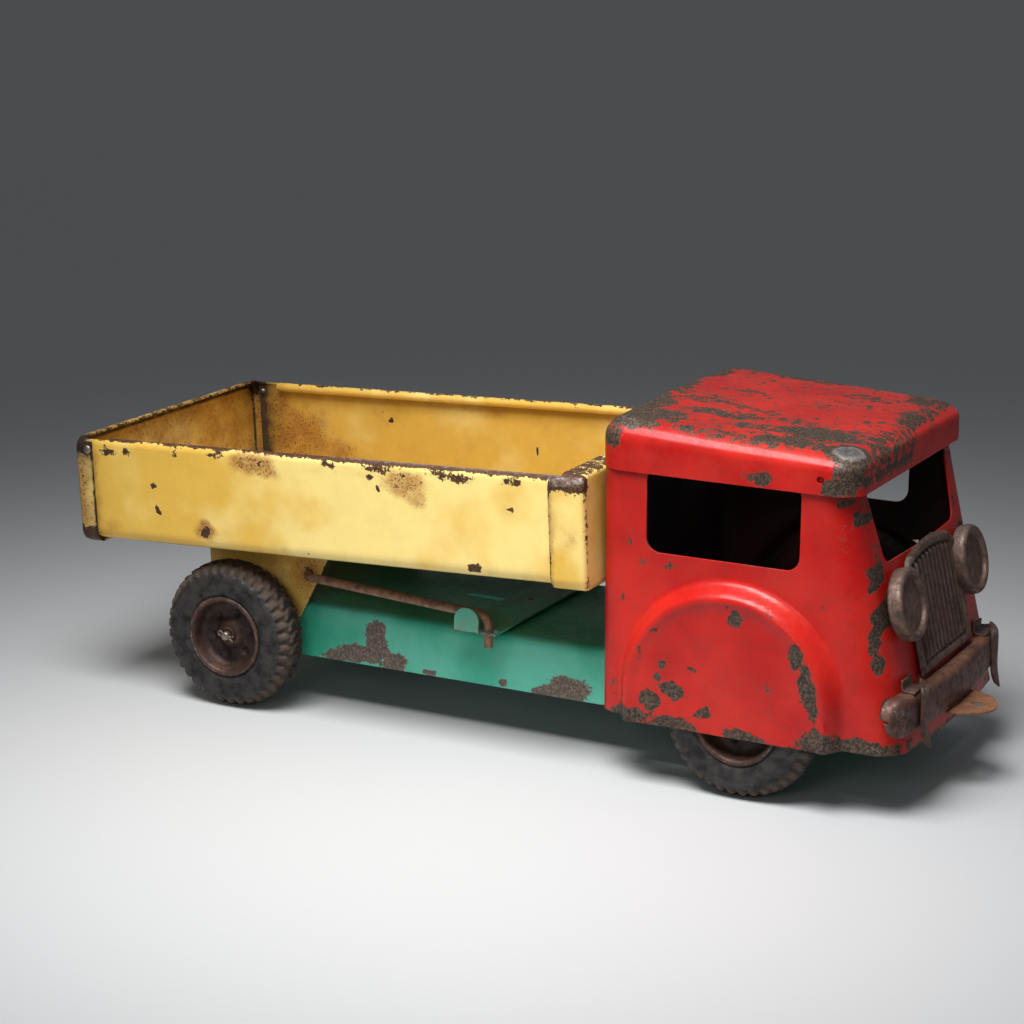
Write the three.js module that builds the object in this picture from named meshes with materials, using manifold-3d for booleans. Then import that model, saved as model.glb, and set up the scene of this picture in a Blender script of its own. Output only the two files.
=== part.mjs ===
// Pressed-steel toy tipping lorry, millimetres, +X forward, +Z up.
// The model is laid out from the ground point under the rear axle, then the whole truck is
// shifted so that the origin is the middle of its footprint on the ground.
import * as THREE from "three";
import { mergeVertices } from "three/addons/utils/BufferGeometryUtils.js";
import Module from "manifold-3d";

const wasm = await Module();
wasm.setup();

// ---- Driving dimensions -------------------------------------------------------------------
const GAP = 0.3;                 // left between touching pieces
const SHEET = 1.0;               // pressed-steel sheet
const RIGHT = -1;                // side signs along Y
const LEFT = 1;

const WHEEL = {
  radius: 38, width: 22, middle: 66.9, rim: 20.8, bore: 19.6, wallRadius: 29, web: 3.6, webRadius: 15.6,
  bossOut: 6.4, bossIn: 10.4, spacer: 5, washer: 4.6,
};
const AXLE = { radius: 2.3, height: 38, frontX: 282.8, end: 77.2, pinAt: 75.7 };

const CHASSIS = { rear: -30, front: 346, half: 50.6, bottom: 25.8, top: 54.3 };
const GUIDE = { front: 138.4, rear: 99, half: 2.6 };

const BED = {
  tilt: THREE.MathUtils.degToRad(2.37), half: 81.2, bottom: 83.7, top: 137.2,
  rear: -76, floorRear: -79.6, front: 208, corner: 6, lip: 5, lipRear: -62, lipFront: 203,
};
const HEADBOARD = { front: 209.9, flangeRear: 191.5, outer: 82.5 };
const TAILGATE = { rear: -81.6, flangeFront: -71.1, outer: 82.5, pivotX: -73.4, pivotZ: 131.4 };
const HANGER = { inner: 52, outer: 53.4, flange: 63 };

const ROD = { radius: 2.3, y: 58.5, rearX: 37.5, rearZ: 70.5, frontX: 143, frontZ: 64.5, foot: 48.6 };
const CROSSHEAD = {
  rear: 124, front: 149, bottom: 54.7, top: 55.9, outer: 63.4, earTop: 68.6,
  slotRear: 139.3, slotFront: 147, slotHalf: 2.8,
};

const CAB = {
  rear: 209.4, half: 71.6, bottom: 31, top: 158, corner: 12, frontCorner: 14,
  sillZ: 114.6, sillX: 341, lean: 0.23, bow: 2.4, windowTop: 153.5,
};
const SIDE_WINDOW = { rear: 233.5, front: 310, bottom: 112.5, corner: 7 };
const WINDSCREEN = { sillHalf: 45.8, topHalf: 53 };
const GUARD = { x: 277.5, z: 47.5, radius: 55.5, bevel: 6, face: 80.8 };
const ROOF = {
  rear: 208, front: 337.4, half: 73.2, bottom: 149.8, top: 176.6, edge: 10, corner: 13, drop: 6.5,
  hole: { radius: 1.7, back: 18, up: 6 },
};
const CAB_FOOT = { length: 14, half: 44.6 };
const CAB_RIVETS = [[217, -34], [217, 34]];
const GRILLE = { half: 34.4, bottom: 57.6, shoulder: 110, arch: 116.5, ribs: 10, rib: 2.4, margin: 6 };
const LAMP = { y: 43.5, z: 95, radius: 17, depth: 4.6, stand: 3.1, stem: 4 };
const BUMPER = { front: 366.4, half: 74, bow: 5.5, bottom: 39.4, top: 58.4, depth: 8.2 };
const HORN = { y: 50, half: 5.5, thick: 1.3, top: 63.8, bottom: 31.6 };
const BRACKET = { reach: 6, half: 6 };
const TAB = { root: 363.7, tip: 382.6, half: 18.5, bottom: 37.8, top: 39, hole: 3.3, lipHalf: 12, lip: 9 };

const RIVET = { head: 2.6, shank: 1.3, hole: 1.6, flatten: 0.5 };
const HANGER_RIVETS = { x: [-14, 44], y: 58 };
const TAILGATE_PIN = { radius: 1.5, head: 2.4, tail: 2.6 };
const SPLIT_PIN = { radius: 0.7, reach: 4.6, hole: 1 };
const STUD = { x: 135.4, radius: 1.7, head: 5, hole: 2, seat: 3.4 };

// Ends of the bed: the pans wrap just under the floor and stand just above the sides.
const PAN_BOTTOM = BED.bottom - 2 * GAP - SHEET;

// The tailgate's top edge is the rearmost point once the bed is tilted.
const TAILGATE_TOP = BED.top + 0.6;
const REARMOST = TAILGATE.rear * Math.cos(BED.tilt) - (TAILGATE_TOP - AXLE.height) * Math.sin(BED.tilt);
const CENTRE_X = (REARMOST + TAB.tip) / 2;

// ---- Finishes -----------------------------------------------------------------------------
const finish = (color, roughness, metalness) => new THREE.MeshStandardMaterial({ color, roughness, metalness });
const RED = finish(0xb3150f, 0.42, 0.1);
const YELLOW = finish(0xd9ad3c, 0.45, 0.1);
const GREEN = finish(0x2f8f78, 0.5, 0.1);
const RUST = finish(0x4a3229, 0.75, 0.5);
const STEEL = finish(0x8c8a86, 0.4, 0.9);
const RUBBER = finish(0x2b2c2e, 0.85, 0.0);

// ---- Solids -------------------------------------------------------------------------------
function solid(geometry) {
  const bare = geometry.clone();
  bare.deleteAttribute("normal");
  bare.deleteAttribute("uv");
  const merged = mergeVertices(bare, 1e-4);
  const vertProperties = new Float32Array(merged.attributes.position.array);
  const triVerts = new Uint32Array(merged.index.array);
  return new wasm.Manifold(new wasm.Mesh({ numProp: 3, vertProperties, triVerts }));
}

function named(name, material, shape) {
  const { vertProperties, triVerts } = shape.getMesh();
  const geometry = new THREE.BufferGeometry();
  geometry.setAttribute("position", new THREE.BufferAttribute(new Float32Array(vertProperties), 3));
  geometry.setIndex(new THREE.BufferAttribute(new Uint32Array(triVerts), 1));
  const mesh = new THREE.Mesh(geometry, material);
  mesh.name = name;
  return mesh;
}

const outline = (points) => new THREE.Shape(points.map(([u, v]) => new THREE.Vector2(u, v)));

function roundedRect(u0, v0, u1, v1, radius) {
  const shape = new THREE.Shape();
  shape.moveTo(u0 + radius, v0);
  shape.lineTo(u1 - radius, v0);
  shape.absarc(u1 - radius, v0 + radius, radius, -Math.PI / 2, 0, false);
  shape.lineTo(u1, v1 - radius);
  shape.absarc(u1 - radius, v1 - radius, radius, 0, Math.PI / 2, false);
  shape.lineTo(u0 + radius, v1);
  shape.absarc(u0 + radius, v1 - radius, radius, Math.PI / 2, Math.PI, false);
  shape.lineTo(u0, v0 + radius);
  shape.absarc(u0 + radius, v0 + radius, radius, Math.PI, Math.PI * 1.5, false);
  return shape;
}

function extruded(shape, depth, curveSegments = 5, bevel = {}) {
  return new THREE.ExtrudeGeometry(shape, { depth, curveSegments, bevelEnabled: false, ...bevel });
}

// An outline in X, Y raised from z0 to z1.
const upZ = (shape, z0, z1, segments) => solid(extruded(shape, z1 - z0, segments).translate(0, 0, z0));

// An outline in X, Z run across from y0 to y1.
function acrossY(shape, y0, y1, segments) {
  return solid(extruded(shape, y1 - y0, segments).rotateX(Math.PI / 2).translate(0, y1, 0));
}

// An outline in Y, Z run along from x0 to x1.
function alongX(shape, x0, x1, segments) {
  const turn = new THREE.Matrix4().makeBasis(
    new THREE.Vector3(0, 1, 0), new THREE.Vector3(0, 0, 1), new THREE.Vector3(1, 0, 0));
  return solid(extruded(shape, x1 - x0, segments).applyMatrix4(turn).translate(x0, 0, 0));
}

function box(x0, x1, y0, y1, z0, z1) {
  const geometry = new THREE.BoxGeometry(x1 - x0, y1 - y0, z1 - z0);
  return solid(geometry.translate((x0 + x1) / 2, (y0 + y1) / 2, (z0 + z1) / 2));
}

// A round bar along Y.
function barY(radius, x, z, y0, y1, sides = 12) {
  return solid(new THREE.CylinderGeometry(radius, radius, y1 - y0, sides).translate(x, (y0 + y1) / 2, z));
}

// A round bar along Z.
function barZ(radius, x, y, z0, z1, sides = 12) {
  const geometry = new THREE.CylinderGeometry(radius, radius, z1 - z0, sides).rotateX(Math.PI / 2);
  return solid(geometry.translate(x, y, (z0 + z1) / 2));
}

// A ring turned about Y from a closed profile of [radius, y] pairs.
function turned(profile, x, z, y, sides) {
  const points = profile.map(([r, v]) => new THREE.Vector2(r, v));
  points.push(points[0].clone());
  return solid(new THREE.LatheGeometry(points, sides).translate(x, y, z));
}

// Two signed distances from the centre plane in rising order.
const between = (side, a, b) => [side * a, side * b].sort((p, q) => p - q);

// A rivet drawn along Z: a low domed head above the seat on a shank that reaches down from it.
function rivet(shank, radius = RIVET.head) {
  const dome = new THREE.SphereGeometry(radius, 8, 6).scale(1, 1, RIVET.flatten);
  const head = solid(dome).intersect(box(-radius, radius, -radius, radius, 0, radius));
  return head.add(barZ(RIVET.shank, 0, 0, -shank, radius * RIVET.flatten / 2, 10));
}

// A rivet along Z with its head up or down.
function rivetZ(x, y, seat, shank, up = 1) {
  return rivet(shank).rotate([up > 0 ? 0 : 180, 0, 0]).translate([x, y, seat]);
}

// A rivet along Y whose head faces the side's sign.
function rivetY(x, y, z, side, shank, radius) {
  return rivet(shank, radius).rotate([-side * 90, 0, 0]).translate([x, y, z]);
}

// ---- Chassis ------------------------------------------------------------------------------
function chassis() {
  const c = CHASSIS;
  const channel = box(c.rear, c.front, -c.half, c.half, c.bottom, c.top)
    .subtract(box(c.rear - 5, c.front + 5, -c.half + SHEET, c.half - SHEET, c.bottom - 5, c.top - SHEET));
  const slot = box(GUIDE.rear, GUIDE.front, -GUIDE.half, GUIDE.half, c.top - 5, c.top + 5);
  let body = channel.subtract(slot);
  for (const x of [0, AXLE.frontX]) {
    body = body.subtract(barY(AXLE.radius + GAP, x, AXLE.height, -c.half - 5, c.half + 5));
  }
  for (const [x, y] of CAB_RIVETS) {
    body = body.subtract(barZ(RIVET.hole, x, y, c.top - 5, c.top + 5, 10));
  }
  return named("chassis", GREEN, body);
}

// ---- Wheels and axles ---------------------------------------------------------------------
function tyre(name, x, side) {
  const w = WHEEL;
  const half = w.width / 2;
  const profile = [
    [w.bore, -half + 1.6], [w.rim + 0.5, -half + 1.6], [w.rim + 0.5, -half], [w.wallRadius, -half],
    [w.wallRadius + 5, -half + 1.6], [w.radius - 1.2, -half + 5], [w.radius, -half + 8.2],
    [w.radius, half - 8.2], [w.radius - 1.2, half - 5], [w.wallRadius + 5, half - 1.6],
    [w.wallRadius, half], [w.rim + 0.5, half], [w.rim + 0.5, half - 1.6], [w.bore, half - 1.6],
  ];
  return named(name, RUBBER, turned(profile, x, AXLE.height, side * w.middle, 30));
}

// One pressed half of a wheel: rim lip, dished wall, web and centre boss. out is the side it faces.
function hubHalf(name, x, side, out, bossEnd) {
  const face = WHEEL.width / 2 - 1.6 + GAP;
  const { web, webRadius } = WHEEL;
  const profile = [
    [AXLE.radius + GAP, web - 1], [AXLE.radius + GAP, bossEnd], [AXLE.radius + 2, bossEnd],
    [AXLE.radius + 2.6, web], [webRadius, web], [WHEEL.bore - 2.6, web + 1.4],
    [WHEEL.bore - GAP - 1, face + SHEET],
    [WHEEL.rim, face + SHEET], [WHEEL.rim, face], [WHEEL.bore - GAP, face],
    [WHEEL.bore - 1.4, web + 0.6], [webRadius, web - 1],
  ].map(([r, v]) => [r, v * out]);
  if (out < 0) profile.reverse();
  profile.reverse();
  return named(name, RUST, turned(profile, x, AXLE.height, side * WHEEL.middle, 18));
}

function wheel(place, x, side) {
  return [
    tyre(`${place}_tyre`, x, side),
    hubHalf(`${place}_hub_outer`, x, side, side, WHEEL.bossOut),
    hubHalf(`${place}_hub_inner`, x, side, -side, WHEEL.bossIn),
  ];
}

function axle(name, x) {
  let bar = barY(AXLE.radius, x, AXLE.height, -AXLE.end, AXLE.end);
  for (const side of [RIGHT, LEFT]) {
    bar = bar.subtract(barZ(SPLIT_PIN.hole, x, side * AXLE.pinAt, AXLE.height - 9, AXLE.height + 9, 8));
  }
  return named(name, STEEL, bar);
}

function splitPin(name, x, side) {
  const { radius, reach } = SPLIT_PIN;
  return named(name, STEEL, barZ(radius, x, side * AXLE.pinAt, AXLE.height - reach, AXLE.height + reach, 8));
}

function washer(name, x, y0, y1, side, radius) {
  const profile = [[AXLE.radius + GAP, y0], [radius, y0], [radius, y1], [AXLE.radius + GAP, y1]];
  const ring = profile.map(([r, v]) => [r, v * side]);
  if (side > 0) ring.reverse();
  return named(name, STEEL, turned(ring.reverse(), x, AXLE.height, 0, 14));
}

function runningGear() {
  const parts = [axle("rear_axle", 0), axle("front_axle", AXLE.frontX)];
  const inboard = { rear: HANGER.outer, front: CHASSIS.half };
  for (const [end, x] of [["rear", 0], ["front", AXLE.frontX]]) {
    for (const [hand, side] of [["right", RIGHT], ["left", LEFT]]) {
      const place = `${end}_${hand}`;
      parts.push(...wheel(place, x, side));
      const spacerEnd = WHEEL.middle - WHEEL.bossIn - GAP;
      const washerStart = WHEEL.middle + WHEEL.bossOut + GAP;
      parts.push(washer(`${place}_spacer`, x, inboard[end] + GAP, spacerEnd, side, WHEEL.spacer));
      parts.push(washer(`${place}_washer`, x, washerStart, AXLE.pinAt - 1, side, WHEEL.washer));
      parts.push(splitPin(`${place}_split_pin`, x, side));
    }
  }
  return parts;
}

// ---- Cab ----------------------------------------------------------------------------------
// Front face of the cab at height z, on its centre line.
const cabFront = (z) => CAB.sillX + CAB.bow + (CAB.sillZ - z) * CAB.lean;

// The cab's plan outline at the sill, inset by the given amount.
function cabPlan(inset) {
  const c = CAB;
  const x0 = c.rear + inset;
  const x1 = c.sillX - inset;
  const y1 = c.half - inset;
  const rear = c.corner - inset;
  const front = c.frontCorner - inset;
  const shape = new THREE.Shape();
  shape.moveTo(x0 + rear, -y1);
  shape.lineTo(x1 - front, -y1);
  shape.absarc(x1 - front, -y1 + front, front, -Math.PI / 2, 0, false);
  shape.quadraticCurveTo(x1 + 2 * c.bow, 0, x1, y1 - front);
  shape.absarc(x1 - front, y1 - front, front, 0, Math.PI / 2, false);
  shape.lineTo(x0 + rear, y1);
  shape.absarc(x0 + rear, y1 - rear, rear, Math.PI / 2, Math.PI, false);
  shape.lineTo(x0, -y1 + rear);
  shape.absarc(x0 + rear, -y1 + rear, rear, Math.PI, Math.PI * 1.5, false);
  return shape;
}

// A block with the cab's plan whose front leans back as it rises.
function cabBlock(inset, z0, z1) {
  const c = CAB;
  const geometry = extruded(cabPlan(inset), z1 - z0, 5).translate(0, 0, z0);
  const position = geometry.attributes.position;
  for (let i = 0; i < position.count; i += 1) {
    const x = position.getX(i);
    const share = (x - c.rear) / (c.sillX - c.rear);
    position.setX(i, x + share * (c.sillZ - position.getZ(i)) * c.lean);
  }
  return solid(geometry);
}

// A front mudguard bulge: an arch with a rounded rim, standing out from the cab side.
function guardBlock(side, inset) {
  const g = GUARD;
  const radius = g.radius - inset;
  const shape = new THREE.Shape();
  shape.moveTo(g.x - radius + g.bevel, CAB.bottom - 20);
  shape.lineTo(g.x + radius - g.bevel, CAB.bottom - 20);
  shape.lineTo(g.x + radius - g.bevel, g.z);
  shape.absarc(g.x, g.z, radius - g.bevel, 0, Math.PI, false);
  const bevel = { bevelEnabled: true, bevelThickness: g.bevel, bevelSize: g.bevel, bevelSegments: 3 };
  const depth = 16;
  const block = extruded(shape, depth, 9, bevel).rotateX(Math.PI / 2);
  const face = g.face - inset;
  const shift = side < 0 ? -face + depth + g.bevel : face - g.bevel;
  return solid(block.translate(0, shift, 0));
}

function cabBody() {
  const c = CAB;
  const low = c.bottom - 20;
  let outer = cabBlock(0, c.bottom, c.top);
  let inner = cabBlock(SHEET, low, c.top + 5);
  const keep = box(0, 400, -90, 90, c.bottom, c.top);
  for (const side of [RIGHT, LEFT]) {
    outer = outer.add(guardBlock(side, 0).intersect(keep));
    inner = inner.add(guardBlock(side, SHEET));
  }
  const s = SIDE_WINDOW;
  const windows = acrossY(roundedRect(s.rear, s.bottom, s.front, c.windowTop, s.corner), -90, 90, 4);
  const { sillHalf, topHalf } = WINDSCREEN;
  const glass = [
    [-sillHalf, c.sillZ], [sillHalf, c.sillZ], [topHalf, c.windowTop], [-topHalf, c.windowTop],
  ];
  const screen = alongX(outline(glass), 300, 380);
  const chassisNotch = box(
    c.rear - 5, c.rear + 20, -CHASSIS.half - GAP, CHASSIS.half + GAP, low, CHASSIS.top + GAP);
  let body = outer.subtract(inner).subtract(windows).subtract(screen).subtract(chassisNotch);
  let foot = box(
    c.rear + SHEET / 2, c.rear + CAB_FOOT.length, -CAB_FOOT.half, CAB_FOOT.half,
    CHASSIS.top + GAP, CHASSIS.top + GAP + SHEET);
  for (const [x, y] of CAB_RIVETS) {
    foot = foot.subtract(barZ(RIVET.hole, x, y, CHASSIS.top - 5, CHASSIS.top + 5, 10));
  }
  body = body.add(foot);
  return named("cab_body", RED, body);
}

function cabRivet(name, [x, y]) {
  const seat = CHASSIS.top + 2 * GAP + SHEET;
  return named(name, STEEL, rivetZ(x, y, seat, 4));
}

// The roof is a shallow pan with soft upper edges whose top falls away towards the front.
function roofBlock(inset, bottom) {
  const r = ROOF;
  const edge = r.edge - inset;
  const plan = roundedRect(
    r.rear + r.edge, -r.half + r.edge, r.front - r.edge, r.half - r.edge, r.corner - r.edge);
  const bevel = { bevelEnabled: true, bevelThickness: edge, bevelSize: edge, bevelSegments: 4 };
  const height = r.top - inset - bottom + 10;
  const block = extruded(plan, height - edge, 4, bevel).translate(0, 0, bottom - 10);
  const position = block.attributes.position;
  for (let i = 0; i < position.count; i += 1) {
    const ahead = Math.max(0, (position.getX(i) - r.rear) / (r.front - r.rear));
    const up = Math.max(0, (position.getZ(i) - r.bottom) / (r.top - r.bottom));
    position.setZ(i, position.getZ(i) - r.drop * ahead * up);
  }
  return solid(block);
}

function roof() {
  const r = ROOF;
  const keep = box(150, 400, -100, 100, r.bottom, 200);
  const shell = roofBlock(0, r.bottom).subtract(roofBlock(SHEET, r.bottom - 10)).intersect(keep);
  const hole = barY(r.hole.radius, r.front - r.hole.back, r.bottom + r.hole.up, -r.half - 3, -r.half + 3, 10);
  return named("cab_roof", RED, shell.subtract(hole));
}

// A seat on the cab's leaning front face at height z.
function leaning(z) {
  const group = new THREE.Group();
  group.position.set(cabFront(z), 0, z);
  group.rotation.y = -Math.atan(CAB.lean);
  return group;
}

function grille() {
  const g = GRILLE;
  const foot = g.bottom - CAB.sillZ;
  const shoulder = g.shoulder - CAB.sillZ;
  const arch = g.arch - CAB.sillZ;
  const shape = new THREE.Shape();
  shape.moveTo(-g.half, foot);
  shape.lineTo(g.half, foot);
  shape.lineTo(g.half - 1, shoulder - 6);
  shape.quadraticCurveTo(g.half - 3, arch, 0, arch);
  shape.quadraticCurveTo(-g.half + 3, arch, -g.half + 1, shoulder - 6);
  let plate = alongX(shape, GAP, GAP + SHEET, 8);
  const span = 2 * (g.half - g.margin);
  const pitch = span / g.ribs;
  for (let i = 0; i < g.ribs; i += 1) {
    const y = -span / 2 + (i + 0.5) * pitch;
    const top = arch - 7 - 4 * (y / g.half) ** 2;
    plate = plate.add(box(GAP + SHEET / 2, GAP + g.rib, y - pitch * 0.3, y + pitch * 0.3, foot + 4, top));
  }
  const seat = leaning(CAB.sillZ);
  seat.add(named("grille", RUST, plate));
  return seat;
}

function headlamp(name, side) {
  const l = LAMP;
  const front = l.stand + l.depth;
  const profile = [
    [0, front - 1], [l.radius - 5, front - 1], [l.radius - 3, front], [l.radius - 1.2, front],
    [l.radius, front - 1.6], [l.radius, l.stand], [l.radius - 1, l.stand], [l.radius - 1, front - 2.4],
    [l.stem, front - 2.4], [l.stem, -0.6], [0, -0.6],
  ];
  const points = profile.map(([r, v]) => new THREE.Vector2(r, v));
  points.reverse();
  const geometry = new THREE.LatheGeometry(points, 20).rotateZ(-Math.PI / 2);
  const seat = leaning(l.z);
  const mesh = named(name, RUST, solid(geometry.translate(0, side * l.y, 0)));
  seat.add(mesh);
  return seat;
}

// Front face of the bumper at the given distance from the centre line.
const bumperFront = (y) => BUMPER.front - BUMPER.bow * (y / 72) ** 2;

function bumperPlan(inset, depth) {
  const b = BUMPER;
  const steps = 12;
  const half = b.half - inset;
  const front = [];
  const back = [];
  for (let i = 0; i <= steps; i += 1) {
    const y = -half + (2 * half * i) / steps;
    front.push([bumperFront(y) - inset, y]);
    back.push([bumperFront(y) - depth, y]);
  }
  return outline([...front, ...back.reverse()]);
}

function bumper() {
  const b = BUMPER;
  const bar = upZ(bumperPlan(0, b.depth), b.bottom, b.top);
  const hollow = upZ(bumperPlan(SHEET, b.depth + 5), b.bottom - 5, b.top - SHEET);
  const behind = cabBlock(-GAP, b.bottom - 1, b.top + 1);
  return named("bumper", RUST, bar.subtract(hollow).subtract(behind));
}

// A bowed upright strap in front of the bumper.
function overrider(name, side) {
  const h = HORN;
  const y = side * h.y;
  const back = bumperFront(h.y - h.half) + GAP;
  const front = back + h.thick;
  const points = [
    [back - 3.6, h.top], [back - 1, h.top - 2.8], [back, h.top - 4.8], [back, 42], [back + 0.6, 37],
    [back + 2.2, h.bottom], [front + 2, h.bottom + 0.2], [front + 0.6, 37], [front, 42],
    [front, h.top - 4.6], [front - 1.3, h.top - 2], [front - 3.9, h.top + 0.7],
  ];
  return named(name, RUST, acrossY(outline(points), y - h.half, y + h.half));
}

// A short angle strap behind each overrider, between the cab's front and the bumper's top.
function bumperBracket(name, side) {
  const { reach, half } = BRACKET;
  const x0 = cabFront(BUMPER.top) - CAB.bow / 2 + GAP;
  const y = side * HORN.y;
  const z0 = BUMPER.top + GAP;
  const flat = box(x0, x0 + reach, y - half, y + half, z0, z0 + SHEET);
  const lip = box(x0, x0 + SHEET, y - half, y + half, z0, z0 + reach);
  return named(name, RUST, flat.add(lip));
}

// The tongue under the bumper, with a string hole and an upturned root.
function pullTab() {
  const t = TAB;
  const reach = t.tip - t.root - 1;
  const shape = new THREE.Shape();
  shape.moveTo(t.root, -t.half);
  shape.absellipse(t.root + 1, 0, reach, t.half, -Math.PI / 2, Math.PI / 2, false);
  shape.lineTo(t.root, t.half);
  const plate = upZ(shape, t.bottom, t.top, 12);
  const lip = box(t.root, t.root + SHEET, -t.lipHalf, t.lipHalf, t.bottom, t.top + t.lip);
  const hole = barZ(t.hole, t.tip - 9, 0, t.bottom - 5, t.top + 5, 14);
  return named("pull_tab", RUST, plate.add(lip).subtract(hole));
}

function cabAssembly() {
  const parts = [cabBody(), roof(), grille(), bumper(), pullTab()];
  parts.push(cabRivet("cab_rivet_right", CAB_RIVETS[0]), cabRivet("cab_rivet_left", CAB_RIVETS[1]));
  for (const [hand, side] of [["right", RIGHT], ["left", LEFT]]) {
    parts.push(headlamp(`headlamp_${hand}`, side));
    parts.push(overrider(`overrider_${hand}`, side));
    parts.push(bumperBracket(`bumper_bracket_${hand}`, side));
  }
  return parts;
}

// ---- Bed ----------------------------------------------------------------------------------
// Section of a trough with rounded bottom corners: half width, floor height, corner radius, top.
function troughSection(half, bottom, radius, top) {
  const shape = new THREE.Shape();
  shape.moveTo(-half + radius, bottom);
  shape.lineTo(half - radius, bottom);
  shape.absarc(half - radius, bottom + radius, radius, -Math.PI / 2, 0, false);
  shape.lineTo(half, top);
  shape.lineTo(-half, top);
  shape.lineTo(-half, bottom + radius);
  shape.absarc(-half + radius, bottom + radius, radius, Math.PI, Math.PI * 1.5, false);
  return shape;
}

// The hole for the tailgate's pin through one side.
function tailgatePinHole(side) {
  const [y0, y1] = between(side, 70, 90);
  return barY(TAILGATE_PIN.radius + GAP, TAILGATE.pivotX, TAILGATE.pivotZ, y0, y1, 12);
}

// Floor and sides in one pressing, open at both ends, with a rolled lip inside each top edge.
function tray() {
  const b = BED;
  const inside = b.half - SHEET;
  const block = alongX(troughSection(b.half, b.bottom, b.corner, b.top), b.floorRear, b.front, 4);
  const hollow = troughSection(inside, b.bottom + SHEET, b.corner - SHEET, b.top + 5);
  let body = block.subtract(alongX(hollow, b.floorRear - 5, b.front + 5, 4));
  for (const side of [RIGHT, LEFT]) {
    const edges = between(side, inside - b.lip, inside + SHEET / 2);
    const roll = roundedRect(edges[0], b.top - b.lip, edges[1], b.top, 2);
    body = body.add(alongX(roll, b.lipRear, b.lipFront, 2));
    const ends = between(side, b.half - b.corner - 1, 90);
    body = body.subtract(box(b.floorRear - 5, b.rear, ends[0], ends[1], b.bottom - 5, b.top + 5));
    body = body.subtract(tailgatePinHole(side));
    for (const x of HANGER_RIVETS.x) {
      body = body.subtract(barZ(RIVET.hole, x, side * HANGER_RIVETS.y, b.bottom - 5, b.bottom + 5, 10));
    }
  }
  return named("bed_tray", YELLOW, body);
}

// A shallow end pan: a web across the bed with flanges that wrap outside the sides and floor.
function endPan(web, flange, outer, bottom, top) {
  const [x0, x1] = [Math.min(web, flange), Math.max(web, flange)];
  const inner = web < flange ? [web + SHEET, flange + 5] : [flange - 5, web - SHEET];
  const section = troughSection(outer, bottom, BED.corner + 1, top);
  const hollow = troughSection(outer - SHEET, bottom + SHEET, BED.corner, top + 5);
  return alongX(section, x0, x1, 4).subtract(alongX(hollow, inner[0], inner[1], 4));
}

function headboard() {
  const h = HEADBOARD;
  const b = BED;
  const top = b.top + GAP + SHEET;
  const pan = endPan(h.front, h.flangeRear, h.outer, PAN_BOTTOM, top);
  const ledge = box(h.flangeRear + 6, h.front, -h.outer, h.outer, b.top + GAP, top);
  return named("headboard", YELLOW, pan.add(ledge));
}

function tailgate() {
  const t = TAILGATE;
  const b = BED;
  let pan = endPan(t.rear, t.flangeFront, t.outer, PAN_BOTTOM, TAILGATE_TOP);
  const ledge = box(t.rear, b.rear - GAP, -b.half + 1.8, b.half - 1.8, TAILGATE_TOP - SHEET, TAILGATE_TOP);
  pan = pan.add(ledge);
  pan = pan.subtract(tailgatePinHole(RIGHT)).subtract(tailgatePinHole(LEFT));
  return named("tailgate", YELLOW, pan);
}

// The pin that the tailgate swings on: domed outside, flattened inside.
function tailgatePivot(name, side) {
  const t = TAILGATE;
  const face = t.outer + GAP;
  const inner = BED.half - SHEET - GAP;
  const ends = between(side, inner - 0.8, face + 0.2);
  const flat = between(side, inner - 0.8, inner);
  const pin = barY(TAILGATE_PIN.radius, t.pivotX, t.pivotZ, ends[0], ends[1], 12);
  const tail = barY(TAILGATE_PIN.tail, t.pivotX, t.pivotZ, flat[0], flat[1], 12);
  const head = rivetY(t.pivotX, side * face, t.pivotZ, side, 0.5, TAILGATE_PIN.head);
  return named(name, STEEL, head.add(pin).add(tail));
}

// A bracket that hangs the bed on the rear axle and carries the tipping rod.
function hanger(name, side) {
  const h = HANGER;
  const b = BED;
  const foot = b.bottom - GAP;
  const shape = outline([
    [-22, foot], [-22, 50], [-14, 34], [-8, 29.5], [0, 28], [9, 30], [31.5, 46], [53, foot],
  ]);
  const plate = acrossY(shape, ...between(side, h.inner, h.outer));
  let flange = box(-22, 53, ...between(side, h.inner, h.flange), foot - SHEET, foot);
  for (const x of HANGER_RIVETS.x) {
    flange = flange.subtract(barZ(RIVET.hole, x, side * HANGER_RIVETS.y, foot - 5, foot + 5, 10));
  }
  const rodHole = levelled(ROD.rearX, ROD.rearZ);
  const bracket = plate.add(flange)
    .subtract(barY(AXLE.radius + GAP, 0, AXLE.height, -70, 70, 14))
    .subtract(barY(ROD.radius + GAP, rodHole.x, rodHole.z, -70, 70, 14));
  return named(name, YELLOW, bracket);
}

// Its head is under the hanger's flange, and its shank ends just below the load floor.
function hangerRivet(name, x, side) {
  const seat = BED.bottom - SHEET - 2 * GAP;
  const shank = 2 * SHEET + GAP + 0.2;
  return named(name, STEEL, rivetZ(x, side * HANGER_RIVETS.y, seat, shank, -1));
}

// A point in the level bed's own frame that lands on the given point once the bed is tilted.
function levelled(x, z) {
  const [s, c] = [Math.sin(BED.tilt), Math.cos(BED.tilt)];
  const up = z - AXLE.height;
  return { x: x * c + up * s, z: AXLE.height - x * s + up * c };
}

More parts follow.
